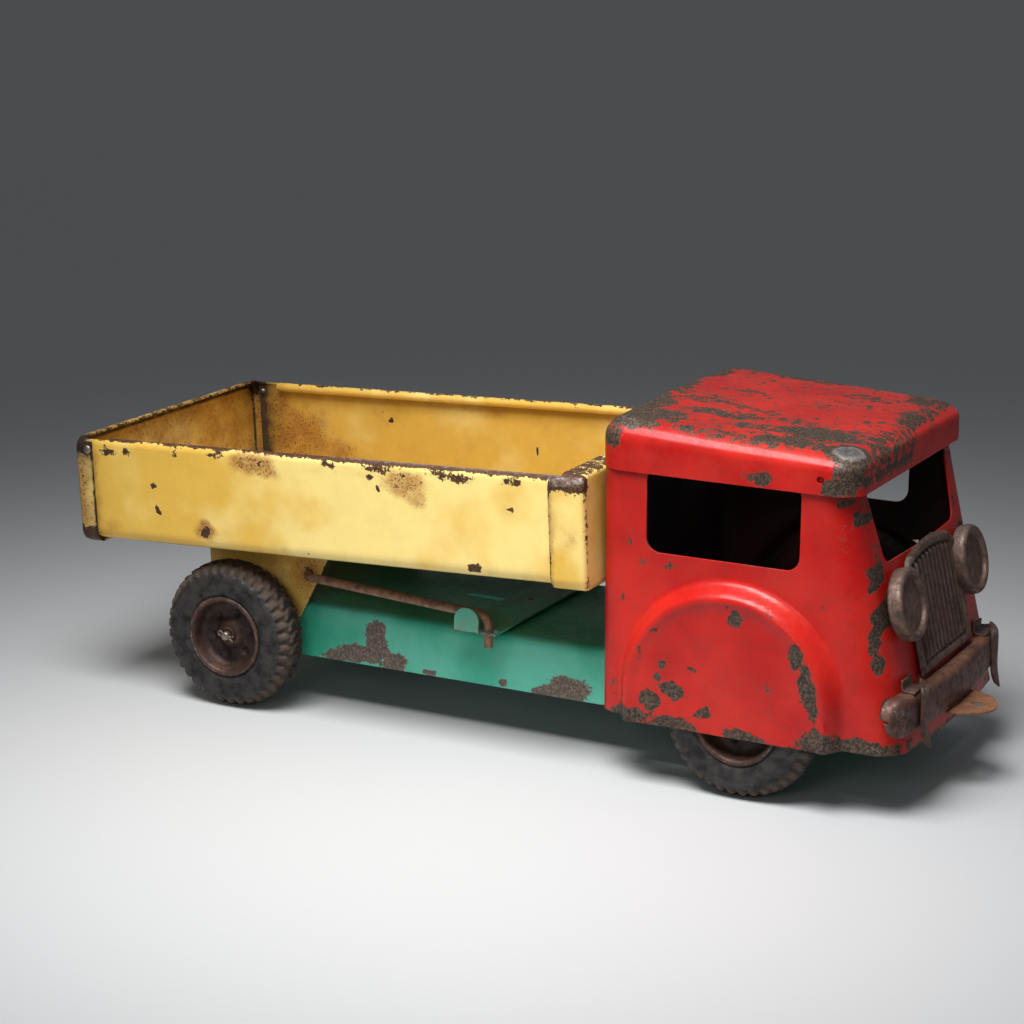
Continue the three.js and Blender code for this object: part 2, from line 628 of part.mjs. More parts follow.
// The bed rests nose-up: its pieces turn together about the rear axle.
function bed() {
  const tilted = new THREE.Group();
  tilted.position.z = AXLE.height;
  tilted.rotation.y = -BED.tilt;
  const level = new THREE.Group();
  level.position.z = -AXLE.height;
  level.add(tray(), headboard(), tailgate());
  for (const [hand, side] of [["right", RIGHT], ["left", LEFT]]) {
    level.add(tailgatePivot(`tailgate_pivot_${hand}`, side));
    level.add(hanger(`hanger_${hand}`, side));
    level.add(hangerRivet(`hanger_rivet_rear_${hand}`, HANGER_RIVETS.x[0], side));
    level.add(hangerRivet(`hanger_rivet_front_${hand}`, HANGER_RIVETS.x[1], side));
  }
  tilted.add(level);
  return tilted;
}

// ---- Tipping linkage ----------------------------------------------------------------------
// A bent wire rod: pin through the hanger, long shank, and a foot turned down at the front.
function rod(name, side) {
  const r = ROD;
  const y = side * r.y;
  const length = Math.hypot(r.frontX - r.rearX, r.frontZ - r.rearZ);
  const slope = Math.atan2(r.frontZ - r.rearZ, r.frontX - r.rearX);
  const shank = solid(new THREE.CylinderGeometry(r.radius, r.radius, length, 12)
    .rotateZ(Math.PI / 2)
    .rotateY(-slope)
    .translate((r.rearX + r.frontX) / 2, y, (r.rearZ + r.frontZ) / 2));
  const ends = between(side, HANGER.inner - 1.2, r.y);
  const pin = barY(r.radius, r.rearX, r.rearZ, ends[0], ends[1], 12);
  const foot = barZ(r.radius, r.frontX, y, r.foot, r.frontZ, 12);
  const knuckle = (x, z) => solid(new THREE.SphereGeometry(r.radius, 10, 6).translate(x, y, z));
  const body = shank.add(pin).add(foot).add(knuckle(r.rearX, r.rearZ)).add(knuckle(r.frontX, r.frontZ));
  return named(name, RUST, body);
}

// The cross plate that the rods push along the chassis, with an upturned ear at each end.
function crosshead() {
  const c = CROSSHEAD;
  let plate = box(c.rear, c.front, -c.outer, c.outer, c.bottom, c.top);
  for (const side of [RIGHT, LEFT]) {
    const ear = new THREE.Shape();
    const [rear, front] = [c.rear + 2.5, c.rear + 16];
    const radius = (front - rear) / 2;
    ear.moveTo(rear, c.bottom);
    ear.lineTo(front, c.bottom);
    ear.lineTo(front, c.earTop - radius);
    ear.absarc(rear + radius, c.earTop - radius, radius, 0, Math.PI, false);
    const [y0, y1] = between(side, c.outer - SHEET, c.outer);
    plate = plate.add(acrossY(ear, y0, y1, 6));
    const y = side * ROD.y;
    const [inner, outer] = [y - c.slotHalf, y + c.slotHalf];
    plate = plate.subtract(box(c.slotRear, c.slotFront, inner, outer, c.bottom - 5, c.top + 2));
  }
  plate = plate.subtract(barZ(STUD.hole, STUD.x, 0, c.bottom - 5, c.top + 5, 12));
  return named("crosshead", GREEN, plate);
}

// The headed stud that keeps the cross plate in the chassis slot.
function guideStud() {
  const [x, top] = [STUD.x, CROSSHEAD.top + GAP];
  const low = CHASSIS.top - STUD.seat - 1.2;
  const stem = barZ(STUD.radius, x, 0, low, top + GAP, 12);
  const head = barZ(STUD.head, x, 0, low, CHASSIS.top - STUD.seat, 16);
  return named("guide_stud", STEEL, rivetZ(x, 0, top, 0.1).add(stem).add(head));
}

// A loose washer between the stud's head and the chassis.
function guideWasher() {
  const z = CHASSIS.top - SHEET - GAP;
  const hole = barZ(STUD.hole, STUD.x, 0, z - 5, z + 5, 12);
  return named("guide_washer", STEEL, barZ(STUD.head, STUD.x, 0, z - 1.5, z, 16).subtract(hole));
}

// ---- Assembly -----------------------------------------------------------------------------
const truck = new THREE.Group();
truck.position.x = -CENTRE_X;
truck.add(chassis(), ...runningGear(), ...cabAssembly(), bed());
truck.add(rod("rod_right", RIGHT), rod("rod_left", LEFT), crosshead(), guideStud(), guideWasher());

const root = new THREE.Group();
root.add(truck);
export default root;
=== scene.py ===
from math import atan, cos, exp, floor, hypot, pi, radians, sin, sqrt

import bmesh
import bpy
from mathutils import Matrix, Vector, noise


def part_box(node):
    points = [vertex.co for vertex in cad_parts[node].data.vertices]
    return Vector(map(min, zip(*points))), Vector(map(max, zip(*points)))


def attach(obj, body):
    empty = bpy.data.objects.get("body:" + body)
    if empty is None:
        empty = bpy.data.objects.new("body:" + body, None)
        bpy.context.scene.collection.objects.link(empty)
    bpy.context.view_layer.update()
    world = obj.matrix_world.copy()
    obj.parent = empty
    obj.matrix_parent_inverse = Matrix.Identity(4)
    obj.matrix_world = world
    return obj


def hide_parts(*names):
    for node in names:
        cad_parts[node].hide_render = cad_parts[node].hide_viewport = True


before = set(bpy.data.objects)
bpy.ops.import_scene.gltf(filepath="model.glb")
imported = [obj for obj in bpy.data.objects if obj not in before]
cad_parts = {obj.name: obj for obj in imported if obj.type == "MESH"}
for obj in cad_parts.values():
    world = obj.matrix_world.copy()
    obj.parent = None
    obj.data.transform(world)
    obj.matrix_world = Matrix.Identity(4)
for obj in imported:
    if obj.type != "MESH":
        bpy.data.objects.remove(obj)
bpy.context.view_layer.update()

# ---- Layout: the truck is drawn in millimetres from the ground under the rear axle ----
MM = 0.001
axle_low, axle_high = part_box("rear_axle")
ORIGIN_X = (axle_low.x + axle_high.x) / 2
SHEET = 1.0
RIGHT, LEFT = -1, 1
HANDS = (("right", RIGHT), ("left", LEFT))

AXLE_Z, FRONT_AXLE_X, AXLE_RADIUS, AXLE_HALF, AXLE_HOLE = 38.0, 282.8, 2.3, 77.2, 2.7
WHEEL_Y, SPLIT_PIN_Y = 66.9, 75.7

CAB_REAR, CAB_HALF, CAB_BOTTOM, CAB_TOP = 209.4, 71.6, 31.0, 158.0
CAB_CORNER, CAB_FRONT_CORNER, CAB_PILLAR = 8.5, 14.0, 325
SILL_Z, SILL_X, LEAN, BOW = 114.6, 341.0, 0.23, 2.4
WINDOW_REAR, WINDOW_BOTTOM, WINDOW_FRONT, WINDOW_TOP = 233.5, 112.5, 310.0, 153.5
SIDE_WINDOW = (WINDOW_REAR, WINDOW_BOTTOM, WINDOW_FRONT, WINDOW_TOP, 7.0)
GUARD_X, GUARD_Z, GUARD_RADIUS = 277.5, 47.5, 55.5
ROOF_REAR, ROOF_FRONT, ROOF_HALF = 208.0, 337.4, 73.2
ROOF_BOTTOM, ROOF_TOP, ROOF_DROP = 149.8, 176.0, 6.5
ROOF_HOLE_X, ROOF_HOLE_Z, ROOF_HOLE_RADIUS = ROOF_FRONT - 18, ROOF_BOTTOM + 7, 1.8
FOOT_LENGTH, FOOT_HALF = 13.4, 44.6

BUMPER_FRONT, BUMPER_HALF, BUMPER_BOW = 366.4, 74.0, 5.5
BUMPER_BOTTOM, BUMPER_TOP = 39.4, 58.4
LAMP_Y, LAMP_Z, LAMP_RADIUS = 43.5, 95, 17
HORN_Y, HORN_HALF = 50, 5.5
TAB_ROOT, TAB_TIP, TAB_HALF, TAB_HOLE_X, TAB_HOLE = 363.7, 382.4, 18.5, 373.6, 3.3

BED_TILT = radians(2.37)
BED_HALF, BED_BOTTOM, BED_TOP = 81.2, 83.7, 137.2
BED_FRONT, BED_REAR, BED_FLOOR_REAR = 208.0, -76.0, -79.6
HEADBOARD_FACE, HEADBOARD_LIP = 209.9, 191.5
TAILGATE_FACE, TAILGATE_LIP = -81.6, -71.1
HANGER_Y, HANGER_REAR, HANGER_LOW, HANGER_TOP = 53.4, -22, 28, BED_BOTTOM - 0.3
TAILGATE_PIN = (-73.4, 82.8, 131.4)

CHASSIS_REAR, CHASSIS_FRONT, CHASSIS_HALF = -30.0, 346.0, 50.6
CHASSIS_BOTTOM, CHASSIS_TOP = 25.8, 54.3
CROSSHEAD_HALF, CROSSHEAD_Z, EAR_TOP = 63.4, 55.9, 68.6
ROD_Y, ROD_REAR, ROD_FRONT, ROD_TOP, ROD_LOW, ROD_RADIUS = 58.5, 37.5, 143, 70.5, 64.5, 2.3


# ---- Sheet-metal shaping ----
def clamp(value, low=0.0, high=1.0):
    return max(low, min(high, value))


def ease(low, high, value):
    share = clamp((value - low) / (high - low))
    return share * share * (3 - 2 * share)


def fading(distance, reach):
    """One at no distance, dying away quickly to either side."""
    return exp(-abs(distance) / reach)


def swelling(distance, reach):
    """One at no distance, with a soft crown and soft skirts."""
    return exp(-(distance / reach) ** 2)


def outward(value):
    return -1 if value < 0 else 1


def softened(points, radius, steps=4, closed=False):
    """The line through the points with each corner rounded off."""
    points = [Vector(p) for p in points]
    count = len(points)
    line = []
    for i, corner in enumerate(points):
        if not closed and i in (0, count - 1):
            line.append(corner)
            continue
        back = points[i - 1] - corner
        ahead = points[(i + 1) % count] - corner
        start = corner + back.normalized() * min(radius, back.length * 0.48)
        end = corner + ahead.normalized() * min(radius, ahead.length * 0.48)
        for k in range(steps + 1):
            share = k / steps
            line.append(start.lerp(corner, share).lerp(corner.lerp(end, share), share))
    return line


class Line:
    """A line through points, read by the distance along it."""

    def __init__(self, points, closed=False):
        self.points = [Vector(p) for p in points]
        if closed:
            self.points.append(self.points[0].copy())
        self.marks = [0.0]
        for a, b in zip(self.points, self.points[1:]):
            self.marks.append(self.marks[-1] + (b - a).length)
        self.length = self.marks[-1]

    def at(self, distance):
        distance = clamp(distance, 0, self.length)
        low, high = 0, len(self.marks) - 1
        while high - low > 1:
            middle = (low + high) // 2
            if self.marks[middle] <= distance:
                low = middle
            else:
                high = middle
        gap = self.marks[high] - self.marks[low]
        share = (distance - self.marks[low]) / gap if gap else 0
        return self.points[low].lerp(self.points[high], share)

    def across(self, distance, reach=0.4):
        """Unit direction square to a flat line, on its right hand."""
        run = self.at(distance + reach) - self.at(distance - reach)
        return Vector((run.y, -run.x)).normalized()


def blank(width, height, cell, cell_v=None, corner=(0, 0)):
    """A flat sheet of the given width and height, from its low corner."""
    bm = bmesh.new()
    across = max(1, round(width / cell))
    up = max(1, round(height / (cell_v or cell)))
    bmesh.ops.create_grid(bm, x_segments=across, y_segments=up, size=0.5)
    bmesh.ops.translate(bm, verts=bm.verts, vec=(0.5, 0.5, 0))
    bmesh.ops.scale(bm, verts=bm.verts, vec=(width, height, 1))
    bmesh.ops.translate(bm, verts=bm.verts, vec=(*corner, 0))
    return bm


def cut(bm, outline, cell):
    """Cuts away the part of a flat sheet where outline(u, v) is below zero."""
    tiny, snap = 0.02, 0.56 * cell
    for v in bm.verts:
        for _ in range(2):
            x, y = v.co.x, v.co.y
            d = outline(x, y)
            if not 1e-5 < abs(d) < snap:
                break
            slope = Vector((outline(x + tiny, y) - d, outline(x, y + tiny) - d, 0)) / tiny
            if slope.length < 0.3:
                break
            v.co -= slope * (d / slope.length_squared)
    for f in list(bm.faces):
        reach = [outline(v.co.x, v.co.y) for v in f.verts]
        if min(reach) < -tiny and max(reach) > tiny:
            touching = [v for v, d in zip(f.verts, reach) if abs(d) <= tiny]
            if len(touching) == 2:
                a, b = touching
                if not any(e.other_vert(a) == b for e in a.link_edges):
                    bmesh.utils.face_split(f, a, b)
    gone = []
    for f in bm.faces:
        middle = f.calc_center_median()
        if outline(middle.x, middle.y) < 0:
            gone.append(f)
    bmesh.ops.delete(bm, geom=gone, context="FACES")


def rounded_box(u, v, u0, v0, u1, v1, radius):
    """Distance from a rounded rectangle, below zero inside it."""
    du = max(u0 - u, u - u1) + radius
    dv = max(v0 - v, v - v1) + radius
    return hypot(max(du, 0), max(dv, 0)) + min(max(du, dv), 0) - radius


def press(bm, at):
    """Moves each point (u, v) of a flat sheet to its place at(u, v)."""
    for v in bm.verts:
        v.co = at(v.co.x, v.co.y)
    welded(bm, 0.01)


def welded(bm, reach):
    bmesh.ops.remove_doubles(bm, verts=bm.verts, dist=reach)


def faced(bm):
    """Makes the faces agree on which side is out."""
    bmesh.ops.recalc_face_normals(bm, faces=bm.faces)


def turned(bm, angle, axis):
    bmesh.ops.rotate(bm, verts=bm.verts, cent=(0, 0, 0), matrix=Matrix.Rotation(angle, 3, axis))


def moved(bm, *place):
    bmesh.ops.translate(bm, verts=bm.verts, vec=place)


def mark(bm, label, value_at):
    """Stores a mark on every point of a sheet, from its place: wear, dirt and stains, and on some
    pieces painted shade and painted highlights.
    """
    layer = bm.verts.layers.float.new(label)
    for v in bm.verts:
        v[layer] = value_at(*v.co)


def joined(*parts):
    """Several bmeshes as one."""
    whole = bmesh.new()
    for part in parts:
        mesh = bpy.data.meshes.new("part")
        part.to_mesh(mesh)
        part.free()
        whole.from_mesh(mesh)
        bpy.data.meshes.remove(mesh)
    return whole


def spun(profile, centre, axis="Y", steps=48, closed=False):
    """A profile of (radius, distance along the axis) turned right round the axis."""
    bm = bmesh.new()
    verts = [bm.verts.new((r, d, 0)) for r, d in profile]
    pairs = list(zip(verts, verts[1:])) + ([(verts[-1], verts[0])] if closed else [])
    edges = [bm.edges.new(pair) for pair in pairs]
    bmesh.ops.spin(bm, geom=verts + edges, cent=(0, 0, 0), axis=(0, 1, 0), angle=2 * pi,
                   steps=steps, use_merge=True, use_duplicate=False)
    welded(bm, 0.005)
    if axis == "Z":
        turned(bm, pi / 2, "X")
    if axis == "X":
        turned(bm, -pi / 2, "Z")
    moved(bm, *centre)
    faced(bm)
    return bm


def wire(line, steps, radius, sides):
    """A round bar along a line, closed at both ends."""
    path = [line.at(line.length * k / steps) for k in range(steps + 1)]
    frames = []
    side = None
    for i, point in enumerate(path):
        run = (path[min(i + 1, steps)] - path[max(i - 1, 0)]).normalized()
        if side is None:
            side = run.orthogonal().normalized()
        side = (side - run * side.dot(run)).normalized()
        frames.append((point, side.copy(), run.cross(side)))

    def around(u, v):
        point, a, b = frames[int(v + 0.5)]
        turn = 2 * pi * u / sides
        return point + (a * cos(turn) + b * sin(turn)) * radius

    bm = blank(sides, steps, 1)
    press(bm, around)
    bmesh.ops.holes_fill(bm, edges=[e for e in bm.edges if e.is_boundary], sides=0)
    faced(bm)
    return bm


def dent(x, y, z, size, depth, seed=0.0):
    """Slow hand-hammered unevenness of a pressed sheet."""
    return depth * noise.noise(Vector((x / size + seed, y / size - seed, z / size + 2 * seed)))


def ragged(a, b, seed, fine_seed):
    """The wandering outline of a chip."""
    return (2.2 * noise.noise(Vector((a / 7, b / 7, seed)))
            + 0.9 * noise.noise(Vector((a / 2.6, b / 2.6, fine_seed))))


def patches(a, b, spots):
    """Strongest of the elliptical patches (a, b, reach a, reach b, strength) at a place."""
    best = 0.0
    a += ragged(a, b, 3.1, 9.4)
    b += ragged(a, b, 7.7, 1.9)
    for sa, sb, ra, rb, strength in spots:
        away = hypot((a - sa) / ra, (b - sb) / rb)
        if away < 1.5:
            best = max(best, strength * clamp((1.5 - away) / 0.95))
    return best


def linked(name, data):
    obj = bpy.data.objects.new(name, data)
    bpy.context.scene.collection.objects.link(obj)
    return obj


def piece(name, bm, finishes, body, nodes, slot, tilted=False, sheet=0.0, edge=0.2, inside=None,
          flip=False, **marks):
    """Turns a bmesh in millimetres into a finished piece that rides on a body."""
    for label, value_at in marks.items():
        mark(bm, label, value_at)
    if sheet:
        faced(bm)
        middle = Vector(inside or sum((v.co for v in bm.verts), Vector()) / len(bm.verts))
        facing = sum(f.normal.dot(f.calc_center_median() - middle) * f.calc_area()
                     for f in bm.faces)
        if (facing < 0) != flip:
            bmesh.ops.reverse_faces(bm, faces=bm.faces)
    if tilted:
        bmesh.ops.rotate(bm, verts=bm.verts, cent=(0, 0, AXLE_Z),
                         matrix=Matrix.Rotation(-BED_TILT, 3, "Y"))
    bmesh.ops.scale(bm, verts=bm.verts, vec=(MM, MM, MM))
    moved(bm, ORIGIN_X, 0, 0)
    mesh = bpy.data.meshes.new(name)
    bm.to_mesh(mesh)
    bm.free()
    for finish in finishes:
        mesh.materials.append(finish)
    mesh.polygons.foreach_set("use_smooth", [True] * len(mesh.polygons))
    obj = linked(name, mesh)
    if sheet:
        wall = obj.modifiers.new("wall", "SOLIDIFY")
        wall.thickness = sheet * MM
        wall.offset = -1
        wall.use_even_offset = True
        wall.material_offset = len(finishes) - 1
    if edge:
        rim = obj.modifiers.new("rim", "BEVEL")
        rim.width = edge * MM
        rim.segments = 2
        rim.limit_method = "ANGLE"
        rim.angle_limit = radians(48)
        rim.harden_normals = True
    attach(obj, body)
    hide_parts(*nodes)
    return obj


# ---- Finishes ----
class Field:
    """A value or colour in a node graph, which plain arithmetic joins to others."""

    def __init__(self, graph, socket):
        self.graph, self.socket = graph, socket

    def __add__(self, other):
        return self.graph.math("ADD", self, other)

    def __sub__(self, other):
        return self.graph.math("SUBTRACT", self, other)

    def __rsub__(self, other):
        return self.graph.math("SUBTRACT", other, self)

    def __mul__(self, other):
        return self.graph.math("MULTIPLY", self, other)

    def span(self, low, high, start=0.0, end=1.0):
        """Start below the low limit, end above the high one, and an easy change between."""
        return self.graph.add("ShaderNodeMapRange", "Result", {
            "Value": self, "From Min": low, "From Max": high, "To Min": start, "To Max": end},
            interpolation_type="SMOOTHSTEP")


class Graph:
    """Short calls for the nodes that a finish is wired from."""

    def __init__(self, tree):
        self.tree = tree
        self.place = None

    def feed(self, socket, value):
        if isinstance(value, Field):
            self.tree.links.new(value.socket, socket)
        else:
            socket.default_value = value

    def node(self, kind, inputs, **settings):
        node = self.tree.nodes.new(kind)
        for key, value in settings.items():
            setattr(node, key, value)
        for key, value in inputs.items():
            self.feed(node.inputs[key], value)
        return node

    def add(self, kind, output, inputs, **settings):
        return Field(self, self.node(kind, inputs, **settings).outputs[output])

    def math(self, operation, a, b):
        return self.add("ShaderNodeMath", 0, {0: a, 1: b}, operation=operation)

    def most(self, a, b):
        return self.math("MAXIMUM", a, b)

    def least(self, a, b):
        return self.math("MINIMUM", a, b)

    def mix(self, share, a, b):
        return self.add("ShaderNodeMix", 2, {0: share, 6: a, 7: b}, data_type="RGBA")

    def blend(self, share, a, b):
        return self.add("ShaderNodeMix", 0, {0: share, 2: a, 3: b}, data_type="FLOAT")

    def noise(self, scale, detail, rough, twist=0.0):
        if not self.place:
            self.place = self.add("ShaderNodeTexCoord", "Object", {})
        return self.add("ShaderNodeTexNoise", "Fac", {
            "Vector": self.place, "Scale": scale, "Detail": detail, "Roughness": rough,
            "Distortion": twist})

    def uneven(self, scale, detail, rough):
        """Noise about zero."""
        return self.noise(scale, detail, rough) - 0.5


SURFACE = ("Color", "Roughness", "Metallic", "Height")
# Marks stored on each piece. Wear also carries painted highlights on some pieces, and grime also
# carries painted shade.
MARKS = ("Wear", "Grime", "Stain", "Bloom", "Fade")


def rgb(r, g, b):
    return (r, g, b, 1.0)


def effect(name, wire_up, **inputs):
    """A shared node group: wire_up(graph, given inputs) gives its colour and three values."""
    tree = bpy.data.node_groups.new(name, "ShaderNodeTree")
    for label, value in inputs.items():
        kind = "NodeSocketColor" if isinstance(value, tuple) else "NodeSocketFloat"
        tree.interface.new_socket(label, in_out="INPUT", socket_type=kind).default_value = value
    for label in SURFACE:
        kind = "NodeSocketColor" if label == "Color" else "NodeSocketFloat"
        tree.interface.new_socket(label, in_out="OUTPUT", socket_type=kind)
    g = Graph(tree)
    given = tree.nodes.new("NodeGroupInput").outputs
    values = wire_up(g, {label: Field(g, given[label]) for label in inputs})
    g.node("NodeGroupOutput", dict(zip(SURFACE, values)))
    return tree


# Near-black darkening colours: the first for enamel, carrying dirt and painted shade; the second
# for bare steel, carrying painted shade.
DIRT_AND_SHADE, STEEL_SHADE = rgb(0.02, 0.014, 0.01), rgb(0.012, 0.008, 0.006)
GREY_STEEL, BRIGHT_STEEL = rgb(0.12, 0.095, 0.078), rgb(0.46, 0.42, 0.40)


def enamel(g, given):
    """Stoved enamel that has chipped to rusty steel, rubbed to bright metal, gathered dirt and
    taken painted shade.
    """
    wear, stained = given["Wear"], given["Stain"]
    under, rust, faded = given["Under"], given["Rust"], given["Faded"]
    broad = g.noise(22, 3, 0.5)
    middle = g.noise(210, 9, 0.72, 0.25)
    fine = g.noise(900, 6, 0.6)
    grain = g.noise(2600, 3, 0.6)

    worn = wear + (middle - 0.5) * given["Spread"] + (fine - 0.5) * 0.8
    chip = worn.span(0.5, 0.545)
    halo = worn.span(0.40, 0.5) - chip
    speck_limit = 0.83 - given["Speckle"] * broad.span(0.42, 0.66, 0.06, 0.19)
    chip = g.most(chip, (fine - speck_limit).span(0.0, 0.03))
    rubbed_and_highlight = wear + g.uneven(480, 7, 0.7) * 0.9
    bright = chip * rubbed_and_highlight.span(1.0, 1.45)

    paint = g.mix((broad + given["Fade"]).span(0.38, 0.64), given["Paint"], faded)
    paint = g.mix(g.noise(75, 6, 0.65).span(0.35, 0.75) * given["Blotch"], paint, under)
    stain = (stained + g.uneven(60, 7, 0.7)).span(0.12, 0.75) * 0.85
    paint = g.mix(stain, paint, rust)
    paint = g.mix((stained * 0.35 + fine).span(0.72, 0.80), paint, g.mix(0.4, under, rust))
    paint = g.mix(halo * 0.55, paint, faded)
    # Darkened towards near-black: dirt on some pieces, and painted shade in seams, corners and
    # under overhangs on others.
    grime = given["Grime"] * g.noise(140, 6, 0.7).span(0.2, 0.6, 0.45, 1.0)
    paint = g.mix(g.least(grime, 0.96), paint, DIRT_AND_SHADE)

    metal = g.mix(fine.span(0.44, 0.60) * given["Rusting"], under, rust)
    metal = g.mix(grain.span(0.48, 0.68, 0.0, 0.3), metal, GREY_STEEL)
    metal = g.mix(bright, metal, BRIGHT_STEEL)
    metal = g.mix(g.least(grime * 0.85, 0.9), metal, DIRT_AND_SHADE)

    scuffs = g.noise(320, 8, 0.7).span(0.4, 0.7, 0.0, 0.22)
    paint_rough = given["Gloss"] + (scuffs + g.most(stain, grime) * 0.3)
    metal_rough = g.blend(bright, grain.span(0.3, 0.7, 0.5, 0.72), grain.span(0.3, 0.7, 0.24, 0.42))
    height = g.noise(130, 5, 0.55) * 0.35 - chip * 0.5 + chip * fine * 0.5
    return (g.mix(chip, paint, metal), g.blend(chip, paint_rough, metal_rough),
            g.most(chip * 0.35, bright * 0.95), height)


def rusty(g, given):
    """Bare steel gone brown, with orange bloom in the hollows, rubbed high spots that on some
    pieces are also painted highlights, and a near-black darkening that is painted shade.
    """
    broad = g.noise(45, 5, 0.6)
    middle = g.noise(260, 8, 0.7)
    fine = g.noise(1100, 6, 0.65)
    colour = g.mix(middle.span(0.32, 0.62), given["Dark"], given["Brown"])
    bloom = (given["Bloom"] + g.uneven(120, 7, 0.75)).span(0.05, 0.45)
    colour = g.mix(bloom * 0.8, colour, given["Orange"])
    colour = g.mix(fine.span(0.5, 0.72, 0.0, 0.45), colour, given["Dark"])
    # Bright rubbed metal: wear, and on the rods, lamp bands, bumper nose and grille ribs also a
    # painted highlight.
    rubbed_and_highlight = given["Wear"] + (fine - 0.5) * 1.1
    rubbed_and_highlight = (rubbed_and_highlight + (broad - 0.5) * 0.8).span(0.42, 0.95)
    colour = g.mix(rubbed_and_highlight, colour, given["Bright"])
    # Painted shade: darkened towards near-black where the piece marks it.
    colour = g.mix(given["Grime"], colour, STEEL_SHADE)
    rough = middle.span(0.3, 0.7, 0.78, 0.52) - given["Shine"] * 0.2 + bloom * 0.22
    metallic = g.most((1.0 - bloom) * given["Shine"], rubbed_and_highlight * 0.9)
    return colour, g.blend(rubbed_and_highlight, rough, 0.33), metallic, fine * 0.35 + middle * 0.65


def rubber(g, given):
    """Old hard rubber: dark blotches, brown dust in the tread and fine crazing."""
    middle = g.noise(170, 7, 0.65)
    fine = g.noise(1400, 5, 0.6)
    colour = g.mix(middle.span(0.36, 0.68), given["Rubber"], given["Blotch"])
    dusty = (given["Grime"] + g.uneven(300, 8, 0.7)).span(0.2, 0.9)
    colour = g.mix(dusty * 0.8, colour, given["Dust"])
    colour = g.mix(fine.span(0.58, 0.76, 0.0, 0.35), colour, given["Dust"])
    rough = middle.span(0.3, 0.7, 0.50, 0.66) + dusty * 0.25
    return colour, rough, 0.0, fine * 0.4 + middle * 0.6


worn_enamel = effect(
    "worn_enamel", enamel, Paint=rgb(0.5, 0.02, 0.015), Faded=rgb(0.5, 0.06, 0.03),
    Under=rgb(0.05, 0.035, 0.028), Rust=rgb(0.16, 0.06, 0.02), Wear=0.0, Grime=0.0, Stain=0.0,
    Spread=1.5, Speckle=0.5, Gloss=0.3, Blotch=0.2, Fade=0.0, Rusting=1.0)
rusty_steel = effect(
    "rusty_steel", rusty, Dark=rgb(0.035, 0.022, 0.017), Brown=rgb(0.10, 0.058, 0.042),
    Orange=rgb(0.26, 0.10, 0.035), Bright=rgb(0.42, 0.38, 0.35), Wear=0.0, Bloom=0.0, Grime=0.0,
    Shine=0.5)
aged_rubber = effect(
    "aged_rubber", rubber, Rubber=rgb(0.032, 0.028, 0.027), Blotch=rgb(0.0, 0.0, 0.0),
    Dust=rgb(0.09, 0.062, 0.045), Grime=0.0)


def finish(name, tree, bump, coat=0.0, specular=0.5, **values):
    """A material that takes its surface from a shared effect and the piece's own marks of wear,
    dirt and stains, painted shade and painted highlights.
    """
    material = bpy.data.materials.new(name)
    material.use_nodes = True
    material.node_tree.nodes.clear()
    g = Graph(material.node_tree)
    group = g.node("ShaderNodeGroup", {}, node_tree=tree)
    for label, value in values.items():
        g.feed(group.inputs[label], value)
    for label in MARKS:
        if label in group.inputs:
            here = g.add("ShaderNodeAttribute", "Fac", {}, attribute_name=label.lower(),
                         attribute_type="GEOMETRY")
            g.feed(group.inputs[label], here + values[label] if label in values else here)
    colour, roughness, metallic, height = (Field(g, group.outputs[label]) for label in SURFACE)
    relief = g.add("ShaderNodeBump", "Normal", {
        "Height": height, "Distance": bump * MM, "Strength": 1.0})
    shader = g.add("ShaderNodeBsdfPrincipled", "BSDF", {
        "Base Color": colour, "Roughness": roughness, "Metallic": metallic, "Normal": relief,
        "Coat Weight": coat, "Coat Roughness": 0.14, "Specular IOR Level": specular})
    g.node("ShaderNodeOutputMaterial", {"Surface": shader})
    return material


red_enamel = finish(
    "red_enamel", worn_enamel, 0.3, coat=0.1, specular=0.22, Paint=rgb(0.42, 0.006, 0.005),
    Faded=rgb(0.52, 0.018, 0.011), Under=rgb(0.032, 0.024, 0.019), Rust=rgb(0.12, 0.078, 0.052),
    Gloss=0.27, Speckle=0.8, Spread=1.7)
# Inside faces of the cab and roof: a near-black red, partly their own dull inside and partly
# painted shade inside the closed cab.
inner_red = finish(
    "inner_red", worn_enamel, 0.25, Paint=rgb(0.05, 0.004, 0.004), Faded=rgb(0.03, 0.006, 0.005),
    Under=rgb(0.02, 0.014, 0.011), Rust=rgb(0.04, 0.018, 0.010), Gloss=0.55, Speckle=1.0,
    Spread=1.5)
yellow_enamel = finish(
    "yellow_enamel", worn_enamel, 0.22, coat=0.12, specular=0.3, Paint=rgb(0.76, 0.46, 0.075),
    Faded=rgb(0.90, 0.69, 0.235), Under=rgb(0.045, 0.022, 0.015), Rust=rgb(0.36, 0.13, 0.022),
    Gloss=0.28, Speckle=0.55, Spread=1.6, Blotch=0.07, Rusting=0.3)
green_enamel = finish(
    "green_enamel", worn_enamel, 0.22, coat=0.1, specular=0.25, Paint=rgb(0.03, 0.34, 0.215),
    Faded=rgb(0.10, 0.46, 0.335), Under=rgb(0.10, 0.078, 0.066), Rust=rgb(0.21, 0.155, 0.125),
    Gloss=0.3, Speckle=0.35, Spread=1.5, Blotch=0.12)
brown_steel = finish(
    "brown_steel", rusty_steel, 0.3, Dark=rgb(0.055, 0.034, 0.026), Brown=rgb(0.17, 0.10, 0.075),
    Bright=rgb(0.40, 0.32, 0.28), Shine=0.5)
hub_steel = finish(
    "hub_steel", rusty_steel, 0.35, Dark=rgb(0.018, 0.011, 0.009), Brown=rgb(0.065, 0.03, 0.02),
    Orange=rgb(0.17, 0.06, 0.025), Bloom=0.1, Shine=0.45)
